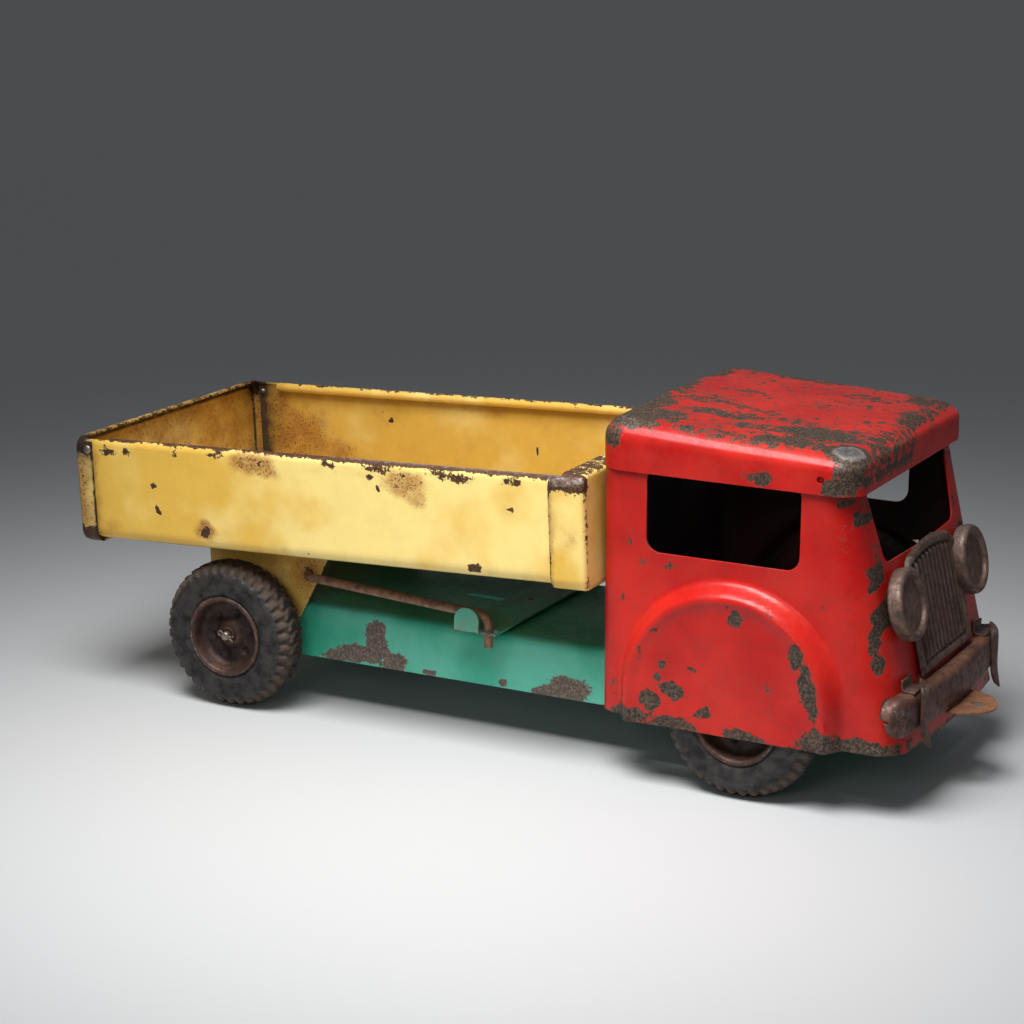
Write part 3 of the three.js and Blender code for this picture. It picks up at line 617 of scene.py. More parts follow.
bumper_steel = finish(
    "bumper_steel", rusty_steel, 0.4, Dark=rgb(0.04, 0.022, 0.017), Brown=rgb(0.13, 0.06, 0.045),
    Orange=rgb(0.20, 0.082, 0.038), Shine=0.5)
orange_steel = finish(
    "orange_steel", rusty_steel, 0.35, Dark=rgb(0.06, 0.03, 0.02), Brown=rgb(0.22, 0.10, 0.06),
    Bloom=0.3, Shine=0.35)
rod_steel = finish(
    "rod_steel", rusty_steel, 0.25, Dark=rgb(0.10, 0.055, 0.035), Brown=rgb(0.27, 0.15, 0.09),
    Bloom=0.1, Shine=0.3)
pin_steel = finish(
    "pin_steel", rusty_steel, 0.12, Dark=rgb(0.10, 0.075, 0.06), Brown=rgb(0.28, 0.23, 0.19),
    Wear=0.35, Shine=0.85)
tyre_rubber = finish("tyre_rubber", aged_rubber, 0.15, specular=0.35)


# ---- Cab ----
def arc(cx, cy, radius, start, end, steps=10):
    turns = [start + (end - start) * k / steps for k in range(steps + 1)]
    return [(cx + radius * cos(turn), cy + radius * sin(turn)) for turn in turns]


def cab_plan():
    """The cab's outline at the sill, from the middle of its back and round by the right side."""
    r, f = CAB_CORNER, CAB_FRONT_CORNER
    right = [(CAB_REAR, 0.0)]
    right += arc(CAB_REAR + r, -CAB_HALF + r, r, -pi, -pi / 2)
    right += arc(SILL_X - f, -CAB_HALF + f, f, -pi / 2, 0)
    front = []
    for k in range(1, 16):
        y = (-CAB_HALF + f) * (1 - k / 8)
        front.append((SILL_X + BOW * (1 - (y / (CAB_HALF - f)) ** 2), y))
    left = [(x, -y) for x, y in reversed(right)]
    return Line(right + front + left)


CAB_PLAN = cab_plan()


def leaned(x, z):
    return x + (x - CAB_REAR) / (SILL_X - CAB_REAR) * (SILL_Z - z) * LEAN


def guard_inset(x, z):
    """Distance inside the arch of the front mudguard."""
    return GUARD_RADIUS - hypot(x - GUARD_X, max(z - GUARD_Z, 0))


def guard_bulge(x, z):
    """How far the front mudguard stands out of the cab side."""
    inset = guard_inset(x, z)
    return 7.7 * ease(-1.2, 5.6, inset) + 1.5 * swelling(inset - 6.4, 3.0)


def screen_edge(y, z):
    """Distance from the windscreen opening, which widens upwards."""
    half = 46.4 + (z - SILL_Z) * 0.18
    return rounded_box(y, z, -half, SILL_Z, half, WINDOW_TOP + 8, 4.5)


def cab_openings(u, z):
    x, y = CAB_PLAN.at(u)
    x = leaned(x, z)
    if x > CAB_PILLAR:
        return screen_edge(y, z)
    if abs(y) > CAB_HALF - 0.5:
        return rounded_box(x, z, *SIDE_WINDOW)
    if x < CAB_REAR + 3:
        slot = CHASSIS_HALF + 0.3
        return rounded_box(y, z, -slot, CAB_BOTTOM - 10, slot, CHASSIS_TOP + 0.3, 1.0)
    return 9.0


CAB_SPOTS = (
    (283, 88, 3.2, 4.6, 1.0), (279, 94, 1.6, 1.4, 0.9), (312.5, 75, 4.2, 6, 1.0),
    (317.5, 63, 4.8, 9, 1.0), (321, 52, 3.6, 8, 0.95), (252, 49.5, 6.5, 3.6, 1.0),
    (240, 43, 5.5, 5, 0.95), (246, 61, 1.9, 2.4, 0.95), (243.5, 55, 2.4, 2.6, 0.9),
    (261, 61, 2, 1.6, 0.9), (229, 34, 11, 4.5, 0.95), (251, 33, 12, 4, 0.9),
    (288, 32, 13, 3.6, 0.85), (324, 35, 10, 6.5, 1.0), (344, 33, 16, 5, 1.0),
    (345.5, 88, 2.3, 15, 0.9), (347.5, 73, 2.6, 5, 0.95), (341, 122, 1.7, 5, 0.75),
    (336, 146, 2.4, 4, 0.8), (342, 108, 1.8, 3.4, 0.8), (243, 78, 2.0, 1.6, 0.85),
    (234.5, 66, 1.2, 7, 0.6), (352, 52, 3, 5, 0.7), (221, 88, 2, 3, 0.5), (300, 93, 1.4, 1.6, 0.7),
    (268, 40, 4, 3.5, 0.8), (299, 58, 2.2, 1.5, 0.55), (226, 118, 3, 5, 0.55),
    (228, 104, 9, 16, 0.3), (246, 106, 18, 3, 0.38), (330, 128, 7, 16, 0.28),
    (336, 92, 8, 10, 0.32), (222, 44, 10, 9, 0.34), (334, 138, 2.0, 3.2, 0.85),
    (329, 146, 3, 2.4, 0.8), (341, 113, 1.6, 4, 0.8), (222, 140, 5, 9, 0.34),
    (300, 44, 12, 6, 0.26), (322, 97, 3, 2, 0.5), (294, 96, 16, 2.2, 0.3),
)
FAR_CAB_SPOTS = [(550 - a, b + 3, ra * 1.1, rb * 0.9, strength * 0.9)
                 for a, b, ra, rb, strength in CAB_SPOTS[:14]]


def cab_wear(x, y, z):
    worn = 0.62 * exp((CAB_BOTTOM - z) / (3.4 if y < 0 else 2.4))
    if x < CAB_PILLAR and abs(y) > 60:
        worn = max(worn, 0.42 * fading(rounded_box(x, z, *SIDE_WINDOW), 1.4))
        if z < WINDOW_BOTTOM and WINDOW_REAR < x < WINDOW_FRONT:
            worn = max(worn, 0.46 * fading(z - WINDOW_BOTTOM, 2.6))
    elif x > CAB_PILLAR:
        worn = max(worn, 0.4 * fading(screen_edge(y, z), 1.3), 0.2 * swelling(abs(y) - 68, 4))
    if abs(y) > 70:
        worn = max(worn, 0.17 * swelling(guard_inset(x, z) - 5.5, 3.5))
    if y < -50:
        worn = max(worn, patches(x, z, CAB_SPOTS))
    if y >= 0:
        worn = max(worn, patches(x, z, FAR_CAB_SPOTS))
    if y > 50:
        worn = max(worn, patches(x, z, CAB_SPOTS[14:20]))
    if x > 335 and abs(y) < 62:
        worn = max(worn, 0.45 * exp((CAB_BOTTOM - z) / 9), 0.42 * fading(z - SILL_Z + 2, 3.5))
    return worn


# Painted shade: darker just under the roof's flange and along the rear edge, next to the bed.
def cab_painted_shade(x, y, z):
    return 0.5 * fading(z - 151, 2.5) + 0.35 * fading(x - CAB_REAR, 5)


def build_cab():
    cell = 1.6
    bm = blank(CAB_PLAN.length, CAB_TOP - CAB_BOTTOM, cell, corner=(0, CAB_BOTTOM))
    cut(bm, cab_openings, cell)

    def at(u, z):
        x, y = CAB_PLAN.at(u)
        x = leaned(x, z)
        flat = ease(CAB_HALF - 3, CAB_HALF, abs(y))
        if flat:
            y += outward(y) * flat * (guard_bulge(x, z) + dent(x, y, z, 34, 0.35))
        elif x > SILL_X - 5:
            x += dent(x, y, z, 30, 0.35)
        return x, y, z

    press(bm, at)
    foot = blank(FOOT_LENGTH, 2 * FOOT_HALF, 3.0)
    press(foot, lambda u, v: (CAB_REAR + 0.6 + u, v - FOOT_HALF, CHASSIS_TOP + 1.3))
    piece("cab_shell", joined(bm, foot), [red_enamel, inner_red], "chassis", ["cab_body"],
          "red_paint", sheet=SHEET, wear=cab_wear, grime=cab_painted_shade)


# ---- Dished pressings: the roof and the two end pans ----
def dished(half_u, half_v, corner, edge, depth, cell):
    """A flat sheet whose border is turned down all round: coordinates are (u, v, depth below
    the face). Gives the blank and the function that shapes it."""
    level = corner - edge
    bend = edge * pi / 2
    reach = level + bend + depth - edge
    inner_u, inner_v = half_u - corner, half_v - corner
    low_u, low_v = -inner_u - reach, -inner_v - reach
    bm = blank(-2 * low_u, -2 * low_v, cell, corner=(low_u, low_v))

    def at(u, v):
        qu, qv = clamp(u, -inner_u, inner_u), clamp(v, -inner_v, inner_v)
        away = Vector((u - qu, v - qv))
        travel = max(abs(away.x), abs(away.y))
        if travel < 1e-6:
            return u, v, 0.0
        away.normalize()
        if travel < level:
            out, down = travel, 0.0
        elif travel < level + bend:
            turn = (travel - level) / edge
            out, down = level + edge * sin(turn), edge * (1 - cos(turn))
        else:
            out, down = corner, edge + travel - level - bend
        return qu + away.x * out, qv + away.y * out, down

    return bm, at


ROOF_SPOTS = (
    (212, -62, 24, 17, 1.0), (214, -34, 17, 24, 0.86), (212, 5, 13, 26, 0.74),
    (213, 45, 14, 24, 0.8), (230, -52, 18, 12, 0.84), (254, -34, 30, 8, 0.72),
    (240, -16, 26, 7, 0.62), (284, -46, 30, 8, 0.68), (306, -42, 26, 12, 0.86),
    (300, -60, 26, 8, 0.76), (330, -62, 13, 11, 1.5), (334, -30, 9, 24, 0.66),
    (332, 20, 9, 36, 0.68), (300, 40, 26, 10, 0.56), (262, 62, 30, 9, 0.66),
    (324, 56, 14, 18, 0.74), (265, -66, 34, 6, 0.66), (222, -67, 14, 6, 1.15),
    (240, 66, 20, 8, 0.68), (320, -8, 12, 8, 0.56), (248, 10, 20, 10, 0.52), (286, 6, 18, 8, 0.5),
    (268, -20, 22, 6, 0.56), (322, -30, 16, 8, 0.62), (262, -58, 34, 9, 0.5),
    (228, -8, 22, 9, 0.56), (292, -28, 24, 6, 0.6), (300, 20, 26, 7, 0.5),
)
ROOF_FLANGE_SPOTS = (
    (290, 154, 7, 3.6, 0.8), (332, 158, 7, 9, 0.8), (214, 166, 8, 8, 0.7), (325, 153, 6, 4, 0.9),
)


def roof_slope(x):
    """How far the roof has come down on the way forward."""
    return ROOF_DROP * (x - ROOF_REAR) / (ROOF_FRONT - ROOF_REAR)


def roof_wear(x, y, z):
    top = z - ROOF_TOP + roof_slope(x)
    worn = 0.92 * patches(x, y, ROOF_SPOTS) * ease(-10, -2, top)
    if top < -1.8 and y < 0:
        worn = max(worn, patches(x, z, ROOF_FLANGE_SPOTS))
    worn = max(worn, 0.42 * swelling(top + 2, 4.0), 0.24 * ease(-4, -1, top))
    worn = max(worn, 0.3 * exp((ROOF_BOTTOM - z) / 1.2))
    if x > ROOF_FRONT - 14:
        worn = max(worn, 0.40 * ease(-20, -4, top))
    return worn


def roof_grime(x, y, z):
    return 0.27 * ease(-5, -1, z - ROOF_TOP + roof_slope(x))


def build_roof():
    half_u, middle = (ROOF_FRONT - ROOF_REAR) / 2, (ROOF_FRONT + ROOF_REAR) / 2
    height = ROOF_TOP - ROOF_BOTTOM
    crown = 1.9
    cell = 1.5
    bm, at = dished(half_u, ROOF_HALF, 12.5, 11.5, height, cell)

    def place(u, v):
        a, y, down = at(u, v)
        x = middle + a
        drop = (crown * (y / ROOF_HALF) ** 2 + roof_slope(x)) * (1 - down / height)
        if down < 6:
            drop += 0.35 + dent(x, y, 0, 40, 0.3, 3.0)
        return x, y, ROOF_TOP - down - drop

    def hole(u, v):
        x, y, z = place(u, v)
        if y > -ROOF_HALF + 1:
            return 9.0
        return hypot(x - ROOF_HOLE_X, z - ROOF_HOLE_Z) - ROOF_HOLE_RADIUS

    cut(bm, hole, cell)
    press(bm, place)
    piece("cab_top", bm, [red_enamel, inner_red], "chassis", ["cab_roof"], "red_paint",
          sheet=SHEET, wear=roof_wear, grime=roof_grime)


# ---- Bed ----
CURL, CURL_TURN = 2.6, pi + 1.0


def tray_section():
    """Half of the tray's section, from inside the rolled edge down to the middle of the floor."""
    curl = arc(BED_HALF - CURL, BED_TOP - CURL, CURL, CURL_TURN, 0, 14)
    corner = arc(BED_HALF - 6, BED_BOTTOM + 6, 6, 0, -pi / 2, 8)
    return curl + corner + [(0.0, BED_BOTTOM)]


TRAY_RIGHT = [(-y, z) for y, z in tray_section()]
TRAY_LINE = Line(TRAY_RIGHT + [(y, z) for y, z in reversed(tray_section()[:-1])])
TRAY_CURL = CURL * CURL_TURN

BED_STAINS = (
    (26, 131, 14, 6, 0.66), (34, 127, 8, 4, 0.56), (-5, 94, 6, 5, 0.66), (113, 128, 13, 7, 0.58),
    (120, 121, 7, 6, 0.46), (60, 108, 16, 12, 0.12), (-62, 91, 8, 5, 0.35), (170, 119, 5, 4, 0.3),
    (-72, 112, 5, 26, 0.4), (92, 131, 40, 3, 0.22),
)
FAR_STAINS = (
    (-52, 108, 26, 20, 0.52), (-30, 98, 26, 12, 0.42), (-64, 124, 10, 16, 0.5),
    (10, 125, 16, 9, 0.26), (70, 128, 20, 5, 0.26), (130, 122, 22, 8, 0.22),
    (188, 112, 16, 14, 0.22),
)
BED_SPOTS = (
    (28, 130, 9, 4, 0.42), (-5, 93, 3.4, 3.0, 0.85), (-34, 114, 1.8, 2.0, 1.0),
    (-33.5, 103.5, 1.8, 2.0, 1.0), (150, 87, 4.5, 3.6, 1.0), (95, 128.5, 1.8, 2.2, 1.0),
    (98.5, 124, 1.6, 1.8, 1.0), (58, 86, 3.4, 1.8, 0.8), (113, 131, 3.4, 2, 0.5),
    (-20, 133, 2.4, 2.4, 0.7), (70, 133.5, 7, 2.4, 0.7), (98, 134, 12, 2.6, 0.62),
    (140, 133.5, 16, 3, 0.64), (172, 133, 9, 3, 0.6), (-62, 131, 6, 3, 0.7), (4, 134, 7, 2, 0.7),
    (170, 119, 1.6, 1.4, 0.8), (-50, 131, 5, 3, 0.6),
)
FAR_SPOTS = (
    (-20, 134, 8, 2.4, 0.5), (40, 135, 5, 1.6, 0.6), (118, 134.5, 6, 2, 0.62),
    (165, 134, 6, 2, 0.6), (10, 120, 1.6, 1.6, 0.9), (60, 128, 2, 1.4, 0.8), (140, 96, 4, 3, 0.9),
    (-30, 90, 3, 3, 0.8), (180, 125, 3, 4, 0.7), (100, 108, 2, 2, 0.8),
)


def tray_wear(x, y, z):
    near = y < 0
    crest = fading(max(0, BED_TOP - z), 1.9 if near else 1.5)
    worn = ((0.78 + 0.5 * ease(20, 90, x)) if near else 0.6) * crest
    if abs(y) > BED_HALF - 1:
        worn = max(worn, patches(x, z, BED_SPOTS if near else FAR_SPOTS))
        worn = max(worn, 0.34 * fading(x - BED_REAR, 5))
    if abs(y) < BED_HALF - 2 and z > BED_TOP - 6:
        worn = max(worn, 0.3)
    return worn


def tray_stain(x, y, z):
    if z < BED_BOTTOM + 3 and abs(y) < 70:
        return 0.38
    low = 0.16 * fading(z - BED_BOTTOM - 2, 4)
    if y < 0:
        return max(low, patches(x, z, BED_STAINS))
    return max(low, patches(x, z, FAR_STAINS), 0.14)


# Painted shade: darker at the rear end where the sides meet the tailgate (more on the far side),
# across the floor, and in a band under the far rolled edge; the far side is also darker all over.
def tray_painted_shade(x, y, z):
    near = y <= 0
    end = fading(max(0, x - BED_REAR - 1), 3.0 if near else 8.0) * (z > BED_BOTTOM + 3)
    grime = end if near else 1.6 * end
    if abs(y) < BED_HALF - 2:
        grime = max(grime, 0.5 * fading(z - BED_BOTTOM - 1, 2))
    if not near and z < BED_TOP - 5:
        grime = max(grime, 0.12 + 0.3 * fading(z - BED_TOP + 6.5, 1.6))
    return grime


def tray_fade(x, y, z):
    """The near side has gone pale from its middle to the cab, and the inside kept its colour."""
    return 0.44 * ease(-80, 60, x) - 0.28 if y < -BED_HALF + 8 else -0.16


def build_tray():
    cell = 2.0
    length = BED_FRONT - BED_FLOOR_REAR
    bm = blank(TRAY_LINE.length, length, cell, corner=(0, BED_FLOOR_REAR))
    side_end = TRAY_CURL + BED_TOP - BED_BOTTOM + 0.8
    kept = TRAY_CURL - 2.3

    def trimmed(u, x):
        """The rolled edge stops short of both ends, and the sides stop short of the floor's."""
        near = min(u, TRAY_LINE.length - u)
        roll = max(near - kept, 0)
        ends = min(x + 62, 203 - x)
        if roll > 0 or ends > 0:
            curl_end = hypot(max(ends, 0), roll)
        else:
            curl_end = -min(-ends, kept - near)
        if near > side_end or x >= BED_REAR + 3:
            return curl_end
        return min(curl_end, x - BED_REAR)

    cut(bm, trimmed, cell)

    def at(u, x):
        y, z = TRAY_LINE.at(u)
        if abs(y) > BED_HALF - 3:
            clear = ease(BED_BOTTOM, BED_BOTTOM + 12, z) * ease(BED_TOP, BED_TOP - 12, z)
            y += dent(x, y, z, 45, 0.4, 5.0) * outward(y) * clear
        elif z < BED_BOTTOM + 2:
            z += dent(x, y, 0, 50, 0.5, 1.0) * ease(74, 60, abs(y)) + 0.25
        return x, y, z

    press(bm, at)
    piece("bed_pressing", bm, [yellow_enamel], "bed", ["bed_tray"], "yellow_paint", tilted=True,
          sheet=SHEET, inside=(64, 0, 150), wear=tray_wear, stain=tray_stain, grime=tray_painted_shade,
          fade=tray_fade)


def pan_wear(face_x, lip_x):
    """Wear of an end pan: blackened rims and corners."""
    def worn(x, y, z):
        value = 0.5 * fading(x - face_x, 1.8) if abs(y) > 78 else 0.2 * fading(x - face_x, 3)
        value = max(value, 0.66 * fading(max(0, 138.2 - z), 1.8))
        if abs(y) > 80:
            value = max(value, 0.58 * fading(x - lip_x, 1.5))
        corner = hypot(max(0, 80 - abs(y)), max(0, 133 - z))
        if face_x > 0:
            return max(value, 1.1 * fading(corner, 4))
        low_corner = hypot(max(0, 78 - abs(y)), max(0, z - 90))
        return max(value, 0.98 * fading(corner, 6), 0.7 * fading(low_corner, 5))
    return worn


def pan_seam_black_and_shade(face_x, lip_x):
    """Black left along the seams of an end pan. On the tailgate also black round the rim of its
    face, darker towards its sides, and painted shade in its top corners, where it meets the side
    walls.
    """
    def grime(x, y, z):
        seam = 0.9 * fading(x - lip_x, 0.9) * (abs(y) > 81)
        if face_x > 0:
            return 0.6 * seam
        rim = 1.2 * fading(x - face_x, 1.5) * (abs(y) > 79 or z > 134)
        top = 1.8 * fading(hypot(max(0, 80 - abs(y)), max(0, 134 - z)), 6)
        return max(seam, rim, top, 0.3 * fading(max(0, 79 - abs(y)), 5))
    return grime


def build_pan(name, node, body, face_x, lip_x, top, ledge, ledge_half, stain):
    """An end pan: a web across the bed whose rim wraps round the sides, the floor and the top."""
    bottom, outer = BED_BOTTOM - 1.6, 82.5
    inward = 1 if lip_x > face_x else -1
    half_v, middle_z = (top - bottom) / 2, (top + bottom) / 2
    corner, edge = 6.5, 2.6
    cell = 1.3
    bm, at = dished(outer, half_v, corner, edge, abs(lip_x - face_x), cell)

    def trimmed(u, v):
        a, b, down = at(u, v)
        above = v - (half_v - corner)
        if b < half_v - corner or above < 0:
            return 9.0
        if above > abs(u) - (outer - corner) and abs(a) < ledge_half + 4:
            return max(ledge - down, abs(a) - ledge_half)
        return 9.0

    cut(bm, trimmed, cell)

    def place(u, v):
        a, b, down = at(u, v)
        bow = dent(a, b, face_x, 40, 0.5, 2.0) * (down < 0.5)
        return face_x + inward * (down + abs(bow)), a, middle_z + b

    press(bm, place)
    piece(name, bm, [yellow_enamel], body, [node], "yellow_paint", tilted=True, sheet=SHEET,
          inside=(face_x + inward * 60, 0, middle_z), wear=pan_wear(face_x, lip_x), stain=stain,
          grime=pan_seam_black_and_shade(face_x, lip_x))


def build_pans():
    def headboard_stain(x, y, z):
        return max(0.5 * fading(hypot(x - 203, z - 107), 6), 0.5 * fading(x - 192, 3), 0.12)

    def tailgate_stain(x, y, z):
        return 0.3 + 0.3 * fading(x + 78, 4)

    build_pan("headboard_pan", "headboard", "bed", HEADBOARD_FACE, HEADBOARD_LIP, 138.5, 12.4, 90,
              headboard_stain)
    build_pan("tailgate_pan", "tailgate", "tailgate", TAILGATE_FACE, TAILGATE_LIP, 137.8, 5.3,
              79.4, tailgate_stain)


def build_hangers():
    width, cell = 75, 1.5
    shape = [(HANGER_REAR, 50), (-14, 34), (-8, 29.5), (0, HANGER_LOW), (9, 30), (31.5, 46),
             (53, HANGER_TOP)]

    def inset(u, v):
        """Distance inside the bracket's edge, below zero beyond it."""
        sides = [u - HANGER_REAR, HANGER_TOP - v]
        for a, b in zip(shape, shape[1:]):
            run = Vector((b[0] - a[0], b[1] - a[1])).normalized()
            sides.append((u - a[0]) * -run.y + (v - a[1]) * run.x)
        return min(sides)

    def wear(x, y, z):
        edge = 0.5 * fading(inset(x, z), 1.5) * (z < HANGER_TOP - 2)
        return max(edge, 0.9 * fading(hypot(x - 38, z - 69), 4))

    def stain(x, y, z):
        return 0.3 + 0.5 * fading(hypot(x - 38, z - 69), 8)

    # Painted shade: darker towards the top, under the bed floor.
    def grime(x, y, z):
        return 0.45 * fading(z - HANGER_TOP, 6)

    for hand, side in HANDS:
        bm = blank(width, 56, cell, corner=(HANGER_REAR, HANGER_LOW))
        cut(bm, inset, cell)
        cut(bm, lambda u, v: hypot(u, v - AXLE_Z) - AXLE_HOLE, cell)
        press(bm, lambda u, v: (u, side * HANGER_Y, v))
        flange = blank(width, 10, cell, corner=(HANGER_REAR, 0))
        press(flange, lambda u, v: (u, side * (HANGER_Y - 0.2 + v * 0.98), HANGER_TOP))
        bm = joined(bm, flange)
        welded(bm, 0.3)
        piece(f"bed_hanger_{hand}", bm, [yellow_enamel], "bed", [f"hanger_{hand}"], "yellow_paint",
              tilted=True, sheet=SHEET, inside=(0, 0, 90), wear=wear, stain=stain, grime=grime)


# ---- Chassis and tipping linkage ----
CHASSIS_SPOTS = (
    (74, 38, 7, 13, 1.0), (64, 31, 16, 6, 1.0), (84, 30, 9, 5, 1.0), (50, 27, 9, 3, 0.9),
    (183, 31, 12, 6, 1.0), (170, 28, 8, 3.4, 0.95), (105, 27.6, 4, 2, 0.9), (147, 28.5, 3, 2, 0.9),
    (120, 36, 1.2, 3, 0.5), (155, 45, 2, 1.4, 0.6),
)


def build_chassis():
    cell = 2.0
    section = Line(softened([(-CHASSIS_HALF, CHASSIS_BOTTOM), (-CHASSIS_HALF, CHASSIS_TOP),
                             (CHASSIS_HALF, CHASSIS_TOP), (CHASSIS_HALF, CHASSIS_BOTTOM)], 4.5, 5))
    bm = blank(section.length, CHASSIS_FRONT - CHASSIS_REAR, cell, corner=(0, CHASSIS_REAR))
    middle, slot = section.length / 2, 2.6
    cut(bm, lambda u, x: rounded_box(u, x, middle - slot, 99, middle + slot, 138.4, 2.4), cell)

    def holes(u, x):
        z = section.at(u).y - AXLE_Z
        return min(hypot(x, z), hypot(x - FRONT_AXLE_X, z)) - AXLE_HOLE

    cut(bm, holes, cell)

    def at(u, x):
        y, z = section.at(u)
        if abs(y) > CHASSIS_HALF - 1:
            y += dent(x, y, z, 50, 0.35, 7.0) * outward(y)
        return x, y, z

    def wear(x, y, z):
        edge = max(0.35 * exp((CHASSIS_BOTTOM - z) / 1.5), 0.2 * fading(z - CHASSIS_TOP + 1, 1.5))
        if abs(y) < 45:
            return edge
        return max(patches(x if y < 0 else 240 - x, z, CHASSIS_SPOTS), edge)

    press(bm, at)
    # Painted shade: the top face of the chassis is darkened, under the cab and bed.
    piece("chassis_channel", bm, [green_enamel], "chassis", ["chassis"], "green_paint",
          sheet=SHEET, inside=(150, 0, 20), wear=wear,
          grime=lambda x, y, z: 0.25 if z > CHASSIS_TOP - 1 else 0.0)


def build_crosshead():
    cell = 1.0
    rear = 124
    section = Line(softened([(-CROSSHEAD_HALF, EAR_TOP), (-CROSSHEAD_HALF, CROSSHEAD_Z),
                             (CROSSHEAD_HALF, CROSSHEAD_Z), (CROSSHEAD_HALF, EAR_TOP)], 1.6, 4))
    bm = blank(section.length, 25, cell, corner=(0, rear))

    def trimmed(u, x):
        near = min(u, section.length - u)
        ear = -rounded_box(x, near, 126.5, 0, 140, 40, 6.7)
        past_bend = near - (EAR_TOP - CROSSHEAD_Z)
        return ear if past_bend < 0 else max(ear, min(past_bend + 0.4, 4.0))

    def slots(u, x):
        y, z = section.at(u)
        if z > CROSSHEAD_Z + 0.6:
            return 9.0
        return rounded_box(abs(y), x, ROD_Y - 2.6, 139.3, ROD_Y + 2.4, 147, 1.5)

    def wear(x, y, z):
        side = 0.75 * fading(z - CROSSHEAD_Z, 1.4) if abs(y) > 61 else 0.25
        front = 0.5 * fading(x - 140, 1.4) if z > 57 else 0.0
        return max(0.62 * exp((z - EAR_TOP) / 1.6), front, side)

    cut(bm, trimmed, cell)
    cut(bm, slots, cell)
    press(bm, lambda u, x: (x, *section.at(u)))
    piece("cross_plate", bm, [green_enamel], "crosshead", ["crosshead"], "green_paint", sheet=1.1,
          flip=True, inside=(136, 0, 0), wear=wear, stain=lambda x, y, z: 0.3)


def build_rods():
    fall = 0.057

    def wear(x, y, z):
        """A painted highlight, as bright metal, along the lower side of the straight run."""
        if not 48 < x < 135:
            return 0.1
        return 0.45 * fading(z - (ROD_TOP - (x - ROD_REAR) * fall) + 1.9, 0.8)

    for hand, side in HANDS:
        y = side * ROD_Y
        line = Line(softened([(ROD_REAR, side * 50.8, ROD_TOP), (ROD_REAR, y, ROD_TOP),
                              (ROD_FRONT, y, ROD_LOW), (ROD_FRONT, y, 48.6)], 5.5, 8))
        piece(f"tipping_rod_{hand}", wire(line, 90, ROD_RADIUS, 16), [rod_steel], f"rod_{hand}",
              [f"rod_{hand}"], "rusted_steel", edge=0.3, wear=wear)


# ---- Front end ----
def cab_front(z):
    return SILL_X + BOW + (SILL_Z - z) * LEAN


def on_front(bm, y, z):
    """Stands a bmesh drawn with X outwards on the leaning front of the cab."""
    turned(bm, -atan(LEAN), "Y")
    moved(bm, cab_front(z), 0, z)
    moved(bm, 0, y, 0)


def build_grille():
    half, foot, top = 34.4, -57.0, 1.9
    ribs, field, rim_width = 11, 28.0, 5.2
    cell = 0.7
    bm = blank(2 * half, top - foot, cell, corner=(-half, foot))

    def edge(y, h):
        """Distance inside the arched outline."""
        crown = top - 5.2 * (y / half) ** 2
        shoulder = hypot(max(abs(y) - (half - 9), 0), max(h - (crown - 9), 0))
        return min(half - abs(y), h - foot, crown - h, 9.0 - shoulder if shoulder > 0 else 99)

    def rib(y):
        wave = (y + field) / (2 * field) * ribs
        return (0.5 - 0.5 * cos(2 * pi * wave)) ** 0.7 if abs(y) < field else 0.0

    def at(y, h):
        inset = edge(y, h)
        rim = ease(0, 1.6, inset) * (1 - ease(rim_width - 1.4, rim_width, inset))
        raised = rib(y) * ease(rim_width - 0.4, rim_width + 2, inset)
        return 1.2 + 1.7 * rim + 1.9 * raised, y, h

    def inner(y, h):
        return ease(rim_width - 0.6, rim_width + 0.6, edge(y, h))

    # Bright rubbed metal on the rib crests, kept off the grooves, is a painted highlight on the
    # ribs; the rim and the patches are real wear.
    def wear(x, y, h):
        share = inner(y, h)
        ridge = share * (0.9 * rib(y) - 0.4) + 0.24 * (1 - share) * ease(0.5, 2, edge(y, h))
        spots = [(-27, -6, 6, 5, 0.7), (-32, -22, 2, 10, 0.35), (24, 0, 7, 3, 0.4)]
        return ridge + patches(y, h, spots)

    cut(bm, edge, cell)
    press(bm, at)
    mark(bm, "wear", wear)
    # Painted shade in the grooves between the ribs.
    mark(bm, "grime", lambda x, y, h: inner(y, h) * (1 - rib(y)) ** 0.7)
    on_front(bm, 0, SILL_Z)
    piece("grille_plate", bm, [brown_steel], "chassis", ["grille"], "rusted_steel", sheet=SHEET,
          inside=(200, 0, 90))


def build_lamps():
    profile = softened([(15.6, 0.9), (16.9, 1.6), (LAMP_RADIUS, 6.4), (16.2, 8.0), (14.6, 8.3),
                        (13.5, 7.6), (13.0, 5.6), (0, 6.6)], 1.0, 3)

    # Bright metal on the rim band, stronger towards the top: partly wear, partly a painted
    # highlight on the band.
    def wear(x, y, z):
        r = hypot(y, z)
        return 0.46 * ease(13.4, 15.2, r) * (0.8 + 0.35 * z / LAMP_RADIUS) - 0.1 * (r < 13)

    for hand, side in HANDS:
        cup = spun([(p.x, p.y) for p in profile], (0, 0, 0), "X", 56)
        bm = joined(cup, spun([(0.0, 1.2), (15.6, 0.9)], (0, 0, 0), "X", 56))
        welded(bm, 0.02)
        faced(bm)
        mark(bm, "wear", wear)
        on_front(bm, side * LAMP_Y, LAMP_Z)
        piece(f"lamp_{hand}", bm, [brown_steel], "chassis", [f"headlamp_{hand}"], "rusted_steel",
              edge=0)


def bumper_face(y):
    return BUMPER_FRONT - BUMPER_BOW * (y / 72) ** 2


